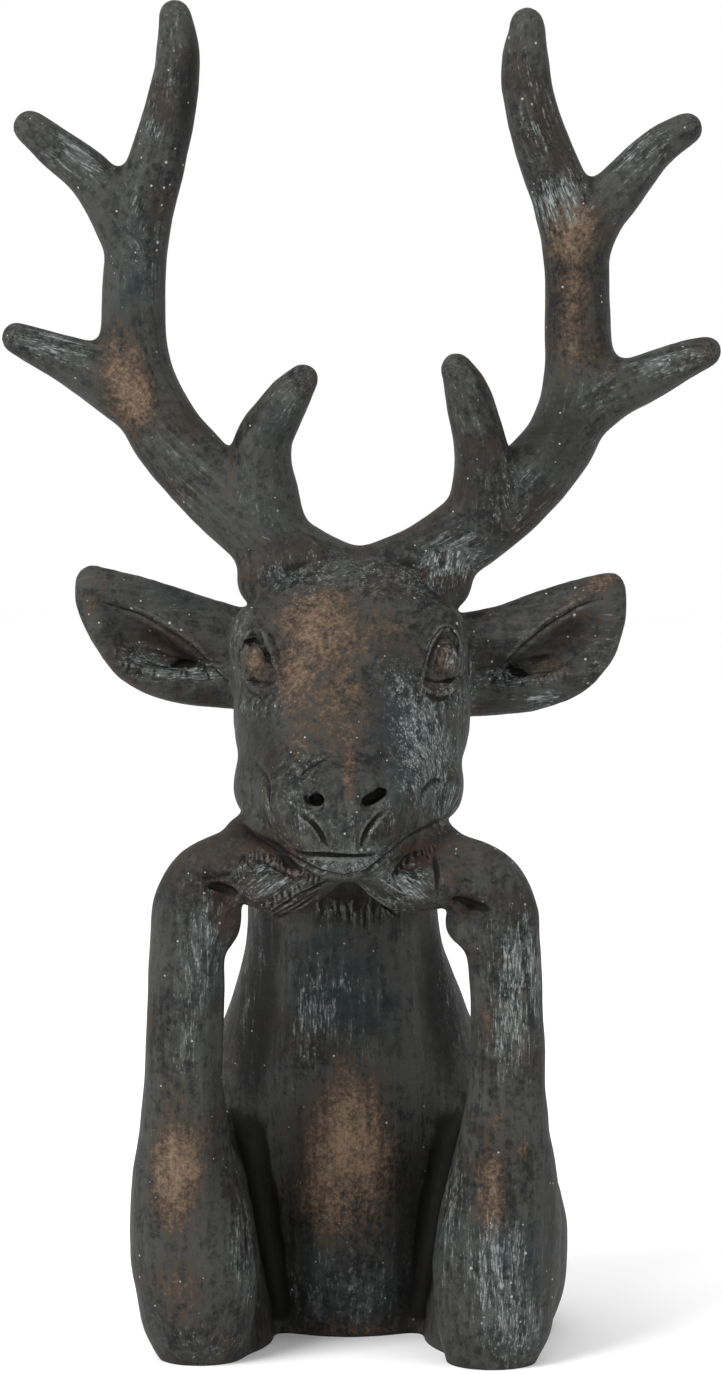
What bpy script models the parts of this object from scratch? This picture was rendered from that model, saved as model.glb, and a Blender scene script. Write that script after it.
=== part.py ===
"""Deer figurine: a stag's bust that rests its chin on its front hooves, cast in one piece.

Metres, +Z up. The stag looks along -Y and the figure stands on its flat underside,
with the origin in the middle of the footprint of its whole outline.
The figure is drawn on 600 parts to its height, so pose and carving follow the height.
"""

import math

import bmesh
import bpy
import numpy as np
from mathutils import Matrix, Vector
from mathutils.bvhtree import BVHTree

# Driving sizes, in metres
FIGURE_HEIGHT = 0.600
PART = FIGURE_HEIGHT / 600

# Grain of the modelling, in parts
ROUGH_GRAIN = 2.4
FINE_GRAIN = 1.6
SKIN_LOSS = 0.6
UNCUT_TRIANGLES = 10250
CURVE_STEPS = 6
BALL_STEPS = (32, 20)
HEAD_STEPS = 40
COLUMN_STEPS = 48
EAR_STEPS = 28
HOLLOW_STEPS = 20
TRACE_STEP = 0.8
WELD = 0.02
FAR_IN_FRONT = -200

# Reach of the fillets in parts: at the forks, in the bust and between the two; and rounds for whole skins
FORK_FILLET = 20.1
BUST_FILLET = 9.6
JOIN_FILLET = 4.5
SKIN_ROUNDS = 4

# Finish of the cast
BRONZE_BLACK = (0.055, 0.058, 0.058, 1.0)
CAST_ROUGHNESS = 0.55
CAST_METALLIC = 0.15

# Antlers: x, y, z and radius along each branch, in parts, as seen from the front
LEFT_BEAM = (
    (4, 8, 340, 15), (-22, 8, 350, 17), (-47.5, 9, 369.6, 16), (-66.5, 13, 389.4, 17.2),
    (-84, 16, 410.5, 16.3), (-95.3, 18, 438, 15), (-96.6, 18, 467, 13.9), (-94.5, 15, 496, 13.9),
    (-85.6, 9, 529, 12.5), (-78.6, 4, 555, 10.9), (-75.7, 0, 577, 9.5), (-76.9, -2, 592, 7.2),
)
LEFT_TINES = (
    ((-96, 14, 490, 12.8), (-113.5, 11, 520, 10.7), (-130.6, 8, 534.2, 9.2), (-142.2, 6, 543.6, 7.3)),
    ((-92, 17, 420, 14.4), (-120.5, 14, 437.4, 11.7), (-134.4, 10, 443.5, 9.2), (-148.6, 6, 449.6, 7)),
    ((-37.2, 8, 371, 16.4), (-38.6, -2, 402, 13.1), (-32.6, -8, 413.6, 11), (-25.4, -14, 424.6, 9.3),
     (-20, -18, 431, 6.8)),
)
RIGHT_BEAM = (
    (4, 8, 340, 15), (31, 8, 350, 15), (54.8, 9, 363.8, 17.2), (73.4, 12, 379.2, 17), (88.4, 15, 395, 16.2),
    (97.9, 17, 409, 16), (102.9, 18, 430, 15.3), (102.6, 18, 462, 14.5), (101.2, 15, 491.7, 14.4),
    (95.6, 12, 511.6, 13.4), (82.7, 6, 546.7, 11.6), (78.4, 2, 570, 10.8), (79.1, -1, 588, 7.6),
)
RIGHT_TINES = (
    ((103, 15, 486, 13.4), (108.3, 14, 500.6, 12.8), (121.4, 11, 516.7, 11.2), (139.8, 7, 536.2, 8.5),
     (150.4, 5, 542.8, 7.2)),
    ((97.4, 17, 409, 14.4), (113.2, 17, 423, 13), (134, 14, 432.6, 10.6), (152.9, 8, 441.4, 7.9),
     (160, 6, 443.8, 6.8)),
    ((60.5, 9, 369, 16.5), (59.5, -1, 395.4, 12.3), (57, -6, 408.7, 11), (53.8, -11, 421, 10.4),
     (50.6, -15, 430, 8.9), (47.6, -18, 435.6, 7)),
)

# Head, from the nose back: y, middle x, top, widest level, bottom, half width
HEAD_SECTIONS = (
    (-102, -2.5, 246, 238, 228, 13), (-99, -2.5, 251, 242, 222, 22), (-91, -2.5, 260, 248, 217.5, 31),
    (-80, -2, 273, 252, 216.5, 35), (-66, -1, 292, 258, 218, 38.5), (-50, 0, 315, 268, 222, 44),
    (-34, 1, 334, 274, 226, 50.3), (-18, 1.5, 347, 280, 230, 52), (0, 1.5, 353, 290, 232, 50),
    (20, 1.5, 349, 292, 236, 47), (36, 1.5, 339, 292, 246, 42), (48, 1.5, 326, 292, 256, 33),
    (54, 1.5, 312, 290, 268, 20), (57, 1.5, 299, 290, 280, 8),
)
HEAD_TOP_POWER = 2.7
JAW_POWER = 1.65

# Trunk and neck, from the base up: z, middle x, half width, front y, back y, swell of the breast
TRUNK_SECTIONS = (
    (-8, 0, 82, 10, 99, 10), (20, 0, 85, 6, 102, 13), (50, 0, 85, 3, 104, 15), (90, 0, 77, 0, 100, 14),
    (141, -0.5, 55.5, -4, 86, 9), (159, -1.4, 49.2, -5, 77, 7), (177, -2.3, 44.2, -5, 68, 5),
    (200, -3, 42, -4, 60, 3), (235, -1, 39, -1, 54, 0), (262, 1, 41, 2, 56, 0), (288, 1, 42, 10, 58, 0),
    (306, 1, 38, 16, 56, 0), (324, 1, 26, 22, 45, 0),
)
BREAST_WIDTH = 29
TRUNK_POWER = 2.15

# Upper arms, which tie the elbows to the trunk, in the same columns; the middle is for the right one
ARM_SECTIONS = (
    (-8, 60, 27, -45, 60, 0), (20, 62, 26.5, -43, 62, 0), (46, 65, 26, -38, 62, 0),
    (68, 66, 23.5, -31, 60, 0), (84, 66, 19, -20, 54, 0), (95, 64, 13, -8, 44, 0),
    (102, 63, 5, 2, 32, 0),
)

# Forelegs, from the elbow to the fetlock: x, y, z, radius
LEFT_LEG = (
    (-62.5, -38, -10, 14), (-66, -42, 16, 25), (-67.5, -45, 42, 28.2), (-69.8, -49, 64, 26.4),
    (-71.2, -53, 82, 23.4), (-71.7, -57, 101, 19.8), (-71.9, -60, 126, 16.8),
    (-70.7, -62, 161, 16.5), (-69.7, -64, 188, 16.3), (-69.1, -65, 202, 15.6), (-64, -66, 214, 14.7),
    (-52.2, -67, 223, 12.2), (-36, -70, 224, 11),
)
RIGHT_LEG = (
    (60, -49, -10, 15.5), (63.6, -48, 16, 25.8), (65, -47, 42, 28.2), (66.6, -49, 62, 27),
    (67.8, -52, 80, 24.4), (68.4, -57, 104, 19.4), (69.4, -60, 126, 16.1),
    (68.6, -62, 161, 15.6), (67, -64, 188, 16), (65.6, -65, 203, 15.6), (60, -66, 214, 14.3),
    (49.1, -67, 221, 12.1), (34, -70, 223, 11),
)

# Bony knobs on the inner side of the wrists: distance from the middle, height, half height
WRIST_KNOBS = ((57.6, 198, 16), (52.8, 196, 11))
WRIST_KNOB_DEPTH = -66
WRIST_KNOB_WIDTH = 11.5
WRIST_KNOB_THICKNESS = 11

# Ears, from the root out: distance from the middle, top, bottom, half depth
LEFT_EAR = (
    (40, 326, 287, 10), (52, 330, 283.6, 12), (66, 334.3, 284.8, 13), (80, 338.7, 287.2, 12.5),
    (93, 342.8, 291.5, 11), (104, 345.6, 298.4, 9.5), (112, 347.4, 309.2, 8), (118.7, 347.8, 321, 6),
    (122.5, 343.5, 331, 3.5),
)
RIGHT_EAR = (
    (40, 323, 283, 10), (52, 326.8, 280.4, 12), (66, 329, 281.2, 13), (80, 334.6, 282.4, 12.5),
    (93, 339.2, 286, 11), (105, 343, 291, 9.5), (114, 345.2, 299.6, 8), (120.9, 345.2, 310.4, 6),
    (124.5, 341, 326, 3.5),
)
EAR_ROOT = 40
EAR_DEPTH_AT_ROOT = 12
EAR_SWEEP = 0.1
HOLLOW_START = 56
HOLLOW_LENGTH = 58
HOLLOW_DEPTH = 1.25
HOLLOW_SHARES = (0.0, 0.12, 0.3, 0.5, 0.7, 0.88, 1.0)

# Share of the ear's height that its upper edge and its lower rim cover before the hollow
ROLL_AT_ROOT = 0.66
ROLL_AT_TIP = 0.16
RIM_AT_ROOT = 0.2
RIM_AT_TIP = 0.3

# Masses of the bust, mirrored in the mid-plane: centre, radii and turn about Z
CHEEK = ((38.6, -36, 254), (11.5, 25, 16.5), 6)
BROW = ((41, -24, 314), (12, 16, 19), 0)
NOSTRIL_WING = ((16, -87, 242), (13, 14, 11), 0)
HAUNCH = ((69.5, 22, 38), (30, 46, 54), 0)
WRIST = ((36, -76, 213), (13.5, 13, 10.5), 0)
HOOF = ((20, -79, 213.5), (14, 11, 6.5), 0)

# Masses on the mid-plane of the muzzle
MUZZLE_MIDDLE = -2.5
NOSE_TIP = ((MUZZLE_MIDDLE, -88, 255), (17, 11, 11), 0)
CHIN = ((MUZZLE_MIDDLE, -89, 223.5), (19, 11, 6.5), 0)

# Crowns that the antlers grow from, and where the jaw rests on the hands, left and right
CROWNS = (((-33, 6, 342), (17, 18, 15), 0), ((37, 6, 340.5), (18, 18, 15), 0))
HAND_RESTS = (((-45.5, -59, 234.5), (8, 10, 7), 0), ((43, -60, 232), (6, 8, 5), 0))

# Runs of bone as x, y, z and radius, mirrored in the mid-plane
JAW_EDGE = ((38, -36, 249, 10), (31, -58, 241, 10), (17, -82, 231, 8))
HOOF_TIP = ((32, -78, 204, 3.4), (20, -81, 206, 4), (9, -83, 214, 3.6))

# Small forms on the face: the eyeballs and the paths of the lids, as x and z seen from the front
EYES = ((-40.6, 307.8), (44.2, 306.8))
EYE_RADII = (5.6, 4.5, 7.6)
EYE_TURN = 25
EYE_SHIFT = (-0.5, 1.4)
SOCKET_RADII = (9, 14, 12)
SOCKET_DEPTH = 4
SOCKET_WAY = (-0.35, 0.9, -0.1)
LID_RISE = 0.2
LIDS = (
    ((-45.8, 303), (-46, 313), (-43.6, 320), (-39.4, 321), (-35, 315.5), (-31.9, 307), (-29.6, 298.6)),
    ((-29.6, 298.6), (-35, 296), (-41, 296.2), (-45, 300.5)),
    ((31.5, 297), (33.4, 308), (37, 317.5), (42.3, 322.6), (47, 319.6), (48.8, 312), (48.6, 304)),
    ((31.5, 297), (37.2, 294.4), (43.4, 294.4), (47.6, 298)),
)
LID_RADIUS = 1.5
RIGHT_LID_FOLD = (((35.5, 299), (36.8, 309), (40.6, 315.6), (44.9, 315.8), (47.4, 309.7)), 1.2, -1)

# Carved lines, as x and z seen from the front, with width and depth
NOSTRILS = (((-13.8, 249.6), 4.6, 3.6, 8), ((9.6, 249.4), 4.4, 3.4, 8), ((13.8, 252.4), 3.4, 2.8, 6))
MOUTH = (((-24.7, 229.4), (-18.3, 228), (-7.6, 229.3), (4.2, 228.6), (10.6, 228), (18.5, 229.4)), 1.7, 3.4)
FACE_LINES = (
    (((-20.4, 246.7), (-15.2, 242.6), (-12.3, 239), (-9.3, 233)), 1.5, 2.2),
    (((16.5, 248.3), (12.7, 244.7), (8.5, 239.7), (5.9, 233)), 1.7, 2.6),
    (((-9, 269), (-13.7, 266.4), (-18.4, 264.4), (-20.9, 259.6)), 1.4, 1),
    (((-40.6, 264), (-36.5, 261), (-34.4, 256), (-34.6, 249.6), (-34, 243)), 1.8, 2.6),
    (((45.2, 257.3), (37, 257.8), (32.6, 254), (32, 249.3), (33.4, 242.5)), 1.8, 2.4),
    (((-46, 324), (-40, 332), (-30.4, 338.8), (-21.5, 342.5), (-8.2, 345.1), (5.1, 346), (22.8, 343.3),
      (38, 338.4), (47, 330)), 5, 1.3),
)
LIMB_LINES = (
    (((-44, 225.5), (-35.2, 223.4), (-28.7, 220.3), (-22.7, 217.5), (-14.6, 218.4)), 1.6, 2),
    (((-33, 205.4), (-22.8, 207), (-9, 216.5)), 1.3, 1.8),
    (((5.1, 217), (10.2, 211.5), (15, 206)), 1.8, 2.2),
    (((36.8, 225.3), (38.8, 216.5), (38.4, 206)), 1.6, 2.2),
    (((-65.3, 217.4), (-57.6, 216.4), (-49.8, 218.7)), 1.8, 1.8),
    (((-60.2, 214.2), (-52.5, 210.2), (-46, 206.8)), 3, 4.5),
    (((44.4, 206.6), (51.5, 204.4), (60.1, 202.5)), 3, 4.5),
)
CHEST_VALLEYS = (
    ((-31.5, 196), (-33, 180), (-36.5, 152), (-41, 117), (-42, 90), (-36, 44), (-31, 6)),
    ((34, 196), (35, 180), (37.5, 152), (42, 117), (42, 92), (36, 44), (31, 6)),
)
VALLEY_WIDTH = 9
VALLEY_DEPTH = 4
CHEST_TUFTS = ((-14, 196), (-8.4, 193.5), (-3, 196), (2.8, 195), (8.6, 193), (14, 196.5))
TUFT_DROP = 9
TUFT_SPREAD = 1.05
TUFT_WIDTH = 1.6
TUFT_HEIGHT = 1.6
NOSTRIL_THICKNESS = 8
NOSTRIL_WAY = (0, 0.95, 0.3)

# Hollows of the cheeks before the eyes, mirrored: place, radii, depth and way in
CHEEK_HOLLOW = ((38, 279), (9, 14, 15), 2.5, (-0.5, 0.8, 0))


def clear_scene():
    for obj in list(bpy.data.objects):
        bpy.data.objects.remove(obj, do_unlink=True)


def new_object(name, mesh, collection):
    obj = bpy.data.objects.new(name, mesh)
    collection.objects.link(obj)
    return obj


def evaluated_mesh(obj):
    """A copy of the object's mesh with its modifiers applied, in world space."""
    bpy.context.view_layer.update()
    graph = bpy.context.evaluated_depsgraph_get()
    mesh = bpy.data.meshes.new_from_object(obj.evaluated_get(graph))
    mesh.transform(obj.matrix_world)
    return mesh


def take(obj):
    """The object's evaluated mesh, with the object itself removed."""
    mesh = evaluated_mesh(obj)
    bpy.data.objects.remove(obj, do_unlink=True)
    return mesh


def limb(path, collection):
    """A rounded tube through points of x, y, z and radius, with a ball at each end."""
    curve = bpy.data.curves.new("limb", "CURVE")
    curve.dimensions = "3D"
    curve.resolution_u = CURVE_STEPS
    curve.bevel_depth = PART
    curve.bevel_resolution = CURVE_STEPS
    curve.use_fill_caps = True
    spline = curve.splines.new("BEZIER")
    spline.bezier_points.add(len(path) - 1)
    for knot, (x, y, z, radius) in zip(spline.bezier_points, path):
        knot.co = Vector((x, y, z)) * PART
        knot.radius = radius
        knot.handle_left_type = "AUTO"
        knot.handle_right_type = "AUTO"
    meshes = [take(new_object("limb", curve, collection))]
    for x, y, z, radius in (path[0], path[-1]):
        meshes.append(ball((x, y, z), (radius, radius, radius)))
    return meshes


def ball(centre, radii, turn=0):
    """An ellipsoid, in parts, turned by degrees about Z."""
    mesh = bpy.data.meshes.new("ball")
    form = bmesh.new()
    around, rings = BALL_STEPS
    bmesh.ops.create_uvsphere(form, u_segments=around, v_segments=rings, radius=PART)
    form.to_mesh(mesh)
    form.free()
    mesh.transform(Matrix.Diagonal((*radii, 1)))
    mesh.transform(Matrix.Rotation(math.radians(turn), 4, "Z"))
    mesh.transform(Matrix.Translation(Vector(centre) * PART))
    return mesh


def loft(rings):
    """A closed skin over rings of points, all with the same number of points."""
    mesh = bpy.data.meshes.new("loft")
    form = bmesh.new()
    loops = [[form.verts.new(Vector(point) * PART) for point in ring] for ring in rings]
    for near, far in zip(loops, loops[1:]):
        for index in range(len(near)):
            after = (index + 1) % len(near)
            form.faces.new((near[index], near[after], far[after], far[index]))
    form.faces.new(reversed(loops[0]))
    form.faces.new(loops[-1])
    bmesh.ops.recalc_face_normals(form, faces=form.faces)
    form.to_mesh(mesh)
    form.free()
    return mesh


def power(value, exponent):
    return math.copysign(abs(value) ** exponent, value)


def turn_steps(count):
    return [math.tau * step / count for step in range(count)]


def smooth_rows(rows, between=4):
    """The rows of a table of sections with others between them, on a smooth curve through each column."""
    table = np.array([rows[0], *rows, rows[-1]], dtype=float)
    result = []
    for before, start, end, after in zip(table, table[1:], table[2:], table[3:]):
        for step in range(between):
            t = step / between
            bend = 2 * before - 5 * start + 4 * end - after
            twist = 3 * (start - end) + after - before
            result.append(start + 0.5 * t * (end - before + t * (bend + t * twist)))
    result.append(table[-1])
    return result


def head():
    rings = []
    for y, middle, top, wide, bottom, half in smooth_rows(HEAD_SECTIONS):
        ring = []
        for angle in turn_steps(HEAD_STEPS):
            above = math.sin(angle) > 0
            shape = 2 / (HEAD_TOP_POWER if above else JAW_POWER)
            reach = top - wide if above else wide - bottom
            ring.append((middle + half * power(math.cos(angle), shape), y,
                         wide + reach * power(math.sin(angle), shape)))
        rings.append(ring)
    return loft(rings)


def column(sections, side=1):
    """An upright mass through level sections, mirrored where side is -1."""
    rings = []
    for z, middle, half, front, back, swell in smooth_rows(sections):
        ring = []
        for angle in turn_steps(COLUMN_STEPS):
            off = half * power(math.cos(angle), 2 / TRUNK_POWER)
            deep = (back - front) / 2 * power(math.sin(angle), 2 / TRUNK_POWER)
            if angle > math.pi:
                deep -= swell * math.exp(-(off / BREAST_WIDTH) ** 2)
            ring.append((side * (middle + off), (front + back) / 2 + deep, z))
        rings.append(ring)
    return loft(rings)


def ear_depth(away):
    """How far back the middle of an ear lies: its tip sweeps forward."""
    return EAR_DEPTH_AT_ROOT - EAR_SWEEP * (away - EAR_ROOT)


def mass(shape, side=1):
    """One named mass, mirrored where side is -1."""
    (x, y, z), radii, turn = shape
    return ball((side * x, y, z), radii, side * turn)


def run(path, side, collection):
    """One named run of bone, mirrored where side is -1."""
    return limb([(side * x, y, z, radius) for x, y, z, radius in path], collection)


def ear(side, sections, collection):
    """A leaf-shaped ear whose hollow faces forward, under an upper edge that rolls over it."""
    leaf = []
    hollow = []
    columns = list(zip(*sections))
    for away, top, bottom, deep in smooth_rows(sections):
        level = (top + bottom) / 2
        tall = (top - bottom) / 2 + SKIN_LOSS
        y = ear_depth(away)
        leaf.append([(side * away, y + deep * math.sin(angle), level + tall * math.cos(angle))
                     for angle in turn_steps(EAR_STEPS)])
    for share in HOLLOW_SHARES:
        away = HOLLOW_START + HOLLOW_LENGTH * share
        top, bottom, deep = (np.interp(away, columns[0], column) for column in columns[1:])
        open_top = top - (top - bottom) * (ROLL_AT_ROOT + (ROLL_AT_TIP - ROLL_AT_ROOT) * share)
        open_low = bottom + (top - bottom) * (RIM_AT_ROOT + (RIM_AT_TIP - RIM_AT_ROOT) * share)
        round_end = math.sqrt(max(0.02, 1 - (2 * share - 1) ** 4))
        level = (open_top + open_low) / 2
        tall = (open_top - open_low) / 2 * round_end
        y = ear_depth(away) - deep
        hollow.append([(side * away, y + deep * HOLLOW_DEPTH * round_end * math.sin(angle),
                        level + tall * math.cos(angle)) for angle in turn_steps(HOLLOW_STEPS)])
    body = new_object("ear", loft(leaf), collection)
    cutter = new_object("ear_hollow", loft(hollow), collection)
    cut = body.modifiers.new("hollow", "BOOLEAN")
    cut.operation = "DIFFERENCE"
    cut.object = cutter
    mesh = take(body)
    bpy.data.objects.remove(cutter, do_unlink=True)
    return mesh


def foreleg(side, path, collection):
    """Elbow and forearm, upper arm back to the trunk, bent wrist, pastern and cloven hoof."""
    meshes = limb(path, collection) + run(HOOF_TIP, side, collection)
    meshes.append(column(ARM_SECTIONS, side))
    for shape in (HAUNCH, WRIST, HOOF):
        meshes.append(mass(shape, side))
    away, level, tall = WRIST_KNOBS[side > 0]
    knob = (WRIST_KNOB_WIDTH, WRIST_KNOB_THICKNESS, tall)
    meshes.append(ball((side * away, WRIST_KNOB_DEPTH, level), knob))
    return meshes


def antlers(collection):
    """Both antlers on one crown, with wide fillets where the tines branch off."""
    meshes = [mass(shape) for shape in CROWNS]
    for branch in (LEFT_BEAM, *LEFT_TINES, RIGHT_BEAM, *RIGHT_TINES):
        meshes += limb(branch, collection)
    mesh = fused(joined(meshes), ROUGH_GRAIN, collection)
    fillet(mesh, FORK_FILLET, ROUGH_GRAIN)
    return mesh


def bust(collection):
    """Head, ears, trunk and forelegs, with small fillets between them."""
    meshes = [head(), column(TRUNK_SECTIONS), mass(NOSE_TIP), mass(CHIN)]
    for side in (-1, 1):
        meshes += [mass(CHEEK, side), mass(BROW, side)]
        meshes += run(JAW_EDGE, side, collection)
        (x, y, z), radii, _ = NOSTRIL_WING
        meshes.append(ball((MUZZLE_MIDDLE + side * x, y, z), radii))
    meshes += [mass(shape) for shape in HAND_RESTS]
    meshes.append(ear(-1, LEFT_EAR, collection))
    meshes.append(ear(1, RIGHT_EAR, collection))
    meshes += foreleg(-1, LEFT_LEG, collection)
    meshes += foreleg(1, RIGHT_LEG, collection)
    mesh = fused(joined(meshes), ROUGH_GRAIN, collection)
    fillet(mesh, BUST_FILLET, ROUGH_GRAIN)
    soften(mesh, SKIN_ROUNDS)
    return mesh


def rough_form(collection):
    """The whole figure before its carving."""
    mesh = fused(joined([antlers(collection), bust(collection)]), FINE_GRAIN, collection)
    fillet(mesh, JOIN_FILLET, FINE_GRAIN)
    soften(mesh, SKIN_ROUNDS)
    put(mesh, places(mesh) + outward(mesh) * SKIN_LOSS * PART)
    return mesh


def joined(meshes):
    form = bmesh.new()
    for mesh in meshes:
        form.from_mesh(mesh)
        bpy.data.meshes.remove(mesh)
    bmesh.ops.remove_doubles(form, verts=form.verts, dist=WELD * PART)
    whole = bpy.data.meshes.new("clay")
    form.to_mesh(whole)
    form.free()
    return whole


def fused(mesh, grain, collection):
    """One skin around everything that overlaps."""
    obj = new_object("clay", mesh, collection)
    skin = obj.modifiers.new("skin", "REMESH")
    skin.mode = "VOXEL"
    skin.voxel_size = grain * PART
    return take(obj)


def places(mesh):
    flat = np.empty(len(mesh.vertices) * 3)
    mesh.vertices.foreach_get("co", flat)
    return flat.reshape(-1, 3)


def outward(mesh):
    flat = np.empty(len(mesh.vertices) * 3)
    mesh.vertex_normals.foreach_get("vector", flat)
    return flat.reshape(-1, 3)


def put(mesh, points):
    mesh.vertices.foreach_set("co", points.ravel())
    mesh.update()


def soften(mesh, rounds, share=0.5, only_fill=False):
    """Draws each point towards its neighbours; only_fill fills creases and leaves what stands out."""
    flat = np.empty(len(mesh.edges) * 2, dtype=np.int64)
    mesh.edges.foreach_get("vertices", flat)
    first, second = flat.reshape(-1, 2).T
    points = places(mesh)
    count = np.bincount(flat, minlength=len(points))[:, None]
    for _ in range(rounds):
        total = np.stack([np.bincount(first, points[second, axis], len(points))
                          + np.bincount(second, points[first, axis], len(points))
                          for axis in range(3)], axis=1)
        pull = total / count - points
        if only_fill:
            away = outward(mesh)
            pull = away * np.maximum(0, (pull * away).sum(axis=1))[:, None]
        points = points + share * pull
        put(mesh, points)


def fillet(mesh, reach, grain):
    """Fills the creases of a skin; softening reaches as far as its grain times the root of the rounds."""
    soften(mesh, round((reach / grain) ** 2), only_fill=True)


def skin_tree(mesh):
    return BVHTree.FromPolygons([Vector(point) for point in places(mesh)],
                                [tuple(face.vertices) for face in mesh.polygons])


def on_front(tree, x, z, proud=0.0):
    """The point of the skin that shows at x, z from the front, or the nearest one past its edge."""
    start = Vector((x, FAR_IN_FRONT, z)) * PART
    point, away, _, _ = tree.ray_cast(start, Vector((0, 1, 0)))
    if point is None:
        point, away, _, _ = tree.find_nearest(Vector((x, -40, z)) * PART)
    return point + away * proud * PART


def on_line(tree, line):
    """Close-set points of the skin along a line of x, z, with how near the line's middle each one is."""
    corners = np.array(line, dtype=float)
    lengths = np.concatenate(([0], np.cumsum(np.linalg.norm(np.diff(corners, axis=0), axis=1))))
    steps = np.linspace(0, lengths[-1], max(4, int(lengths[-1] / TRACE_STEP)))
    points = [on_front(tree, x, z) for x, z in zip(np.interp(steps, lengths, corners[:, 0]),
                                                   np.interp(steps, lengths, corners[:, 1]))]
    middle = np.sin(np.pi * np.clip(steps / lengths[-1], 0.04, 0.96)) ** 0.5
    return np.array(points), middle


def press_line(mesh, tree, line, width, depth):
    """Presses a groove into the skin along a line, or raises a ridge where the depth is negative."""
    marks, middle = on_line(tree, line)
    points = places(mesh)
    reach = 2.6 * width * PART
    inside = (points > marks.min(axis=0) - reach) & (points < marks.max(axis=0) + reach)
    near = np.flatnonzero(inside.all(axis=1))
    if len(near) == 0:
        return
    apart = np.linalg.norm(points[near, None, :] - marks[None, :, :], axis=2) / (width * PART)
    share = (np.exp(-apart ** 2) * middle).max(axis=1)
    points[near] -= outward(mesh)[near] * (share * depth * PART)[:, None]
    put(mesh, points)


def press_pit(mesh, centre, radii, depth, way):
    """Presses a pit of three radii into the skin along a direction."""
    points = places(mesh)
    apart = (((points - np.array(centre)) / (np.array(radii) * PART)) ** 2).sum(axis=1)
    points += np.exp(-apart)[:, None] * np.array(way) * depth * PART
    put(mesh, points)


def with_small_forms(mesh, collection):
    """Sockets, eyeballs and lids, then one skin again."""
    tree = skin_tree(mesh)
    way_x, way_y, way_z = SOCKET_WAY
    centres = [on_front(tree, x, z) for x, z in EYES]
    lids = [[(*(on_front(tree, x, z, LID_RISE) / PART), LID_RADIUS) for x, z in line] for line in LIDS]
    for centre, side in zip(centres, (-1, 1)):
        press_pit(mesh, centre, SOCKET_RADII, SOCKET_DEPTH, (side * way_x, way_y, way_z))
    meshes = [mesh]
    for centre, side in zip(centres, (-1, 1)):
        x, y, z = centre / PART
        meshes.append(ball((x + side * EYE_SHIFT[0], y + EYE_SHIFT[1], z), EYE_RADII, side * EYE_TURN))
    for path in lids:
        meshes += limb(path, collection)
    mesh = fused(joined(meshes), FINE_GRAIN, collection)
    soften(mesh, 1)
    return mesh


def carve(mesh):
    """Every groove, crease and hollow that shows from a step away."""
    tree = skin_tree(mesh)
    for line in CHEST_VALLEYS:
        press_line(mesh, tree, line, VALLEY_WIDTH, VALLEY_DEPTH)
    for line, width, depth in (*FACE_LINES, *LIMB_LINES, MOUTH, RIGHT_LID_FOLD):
        press_line(mesh, tree, line, width, depth)
    for (x, z), wide, tall, depth in NOSTRILS:
        press_pit(mesh, on_front(tree, x, z), (wide, NOSTRIL_THICKNESS, tall), depth, NOSTRIL_WAY)
    for x, z in CHEST_TUFTS:
        tuft = ((x, z), (x * TUFT_SPREAD, z - TUFT_DROP))
        press_line(mesh, tree, tuft, TUFT_WIDTH, -TUFT_HEIGHT)
    (x, z), radii, depth, (way_x, way_y, way_z) = CHEEK_HOLLOW
    for side in (-1, 1):
        press_pit(mesh, on_front(tree, side * x, z), radii, depth, (side * way_x, way_y, way_z))


def decimated(mesh, triangles, collection):
    """The same form in fewer triangles, which stay close-set where it is carved."""
    obj = new_object("clay", mesh, collection)
    fewer = obj.modifiers.new("fewer", "DECIMATE")
    fewer.ratio = triangles / (2 * len(mesh.polygons))
    fewer.use_collapse_triangulate = True
    return take(obj)


def cut_flat(mesh):
    """Cuts the underside off level at z = 0 and closes it."""
    form = bmesh.new()
    form.from_mesh(mesh)
    bmesh.ops.bisect_plane(form, geom=form.verts[:] + form.edges[:] + form.faces[:], dist=WELD * PART,
                           plane_co=(0, 0, 0), plane_no=(0, 0, -1), clear_outer=True)
    rim = [edge for edge in form.edges if edge.is_boundary]
    for edge in rim:
        for corner in edge.verts:
            corner.co.z = 0
    bmesh.ops.triangle_fill(form, edges=rim, use_beauty=True)
    bmesh.ops.recalc_face_normals(form, faces=form.faces)
    form.to_mesh(mesh)
    form.free()


def centre_on_origin(mesh):
    points = places(mesh)
    low = points.min(axis=0)
    high = points.max(axis=0)
    put(mesh, points - np.array(((low[0] + high[0]) / 2, (low[1] + high[1]) / 2, low[2])))


def cast_material():
    material = bpy.data.materials.new("bronze_painted_cast")
    material.use_nodes = True
    surface = material.node_tree.nodes["Principled BSDF"]
    surface.inputs["Base Color"].default_value = BRONZE_BLACK
    surface.inputs["Roughness"].default_value = CAST_ROUGHNESS
    surface.inputs["Metallic"].default_value = CAST_METALLIC
    return material


def main():
    clear_scene()
    collection = bpy.data.collections.new("deer_figurine")
    bpy.context.scene.collection.children.link(collection)
    workings = bpy.data.collections.new("workings")
    bpy.context.scene.collection.children.link(workings)
    mesh = with_small_forms(rough_form(workings), workings)
    carve(mesh)
    mesh = decimated(mesh, UNCUT_TRIANGLES, workings)
    bpy.data.collections.remove(workings)
    cut_flat(mesh)
    centre_on_origin(mesh)
    mesh.name = "deer_figurine"
    mesh.materials.append(cast_material())
    new_object("deer_figurine", mesh, collection)


main()
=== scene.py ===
"""The fine surface and the paint of the deer figurine, a cast stag's bust.

Metres, +Z up, in the model's own frame. The form is drawn on 600 parts to its height.
Places read off the photograph are pixels of its 722 x 1374 frame, laid on the form along the line of sight.
"""

import math

import bmesh
import bpy
import numpy as np
from mathutils import Matrix, Vector
from mathutils.bvhtree import BVHTree


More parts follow.
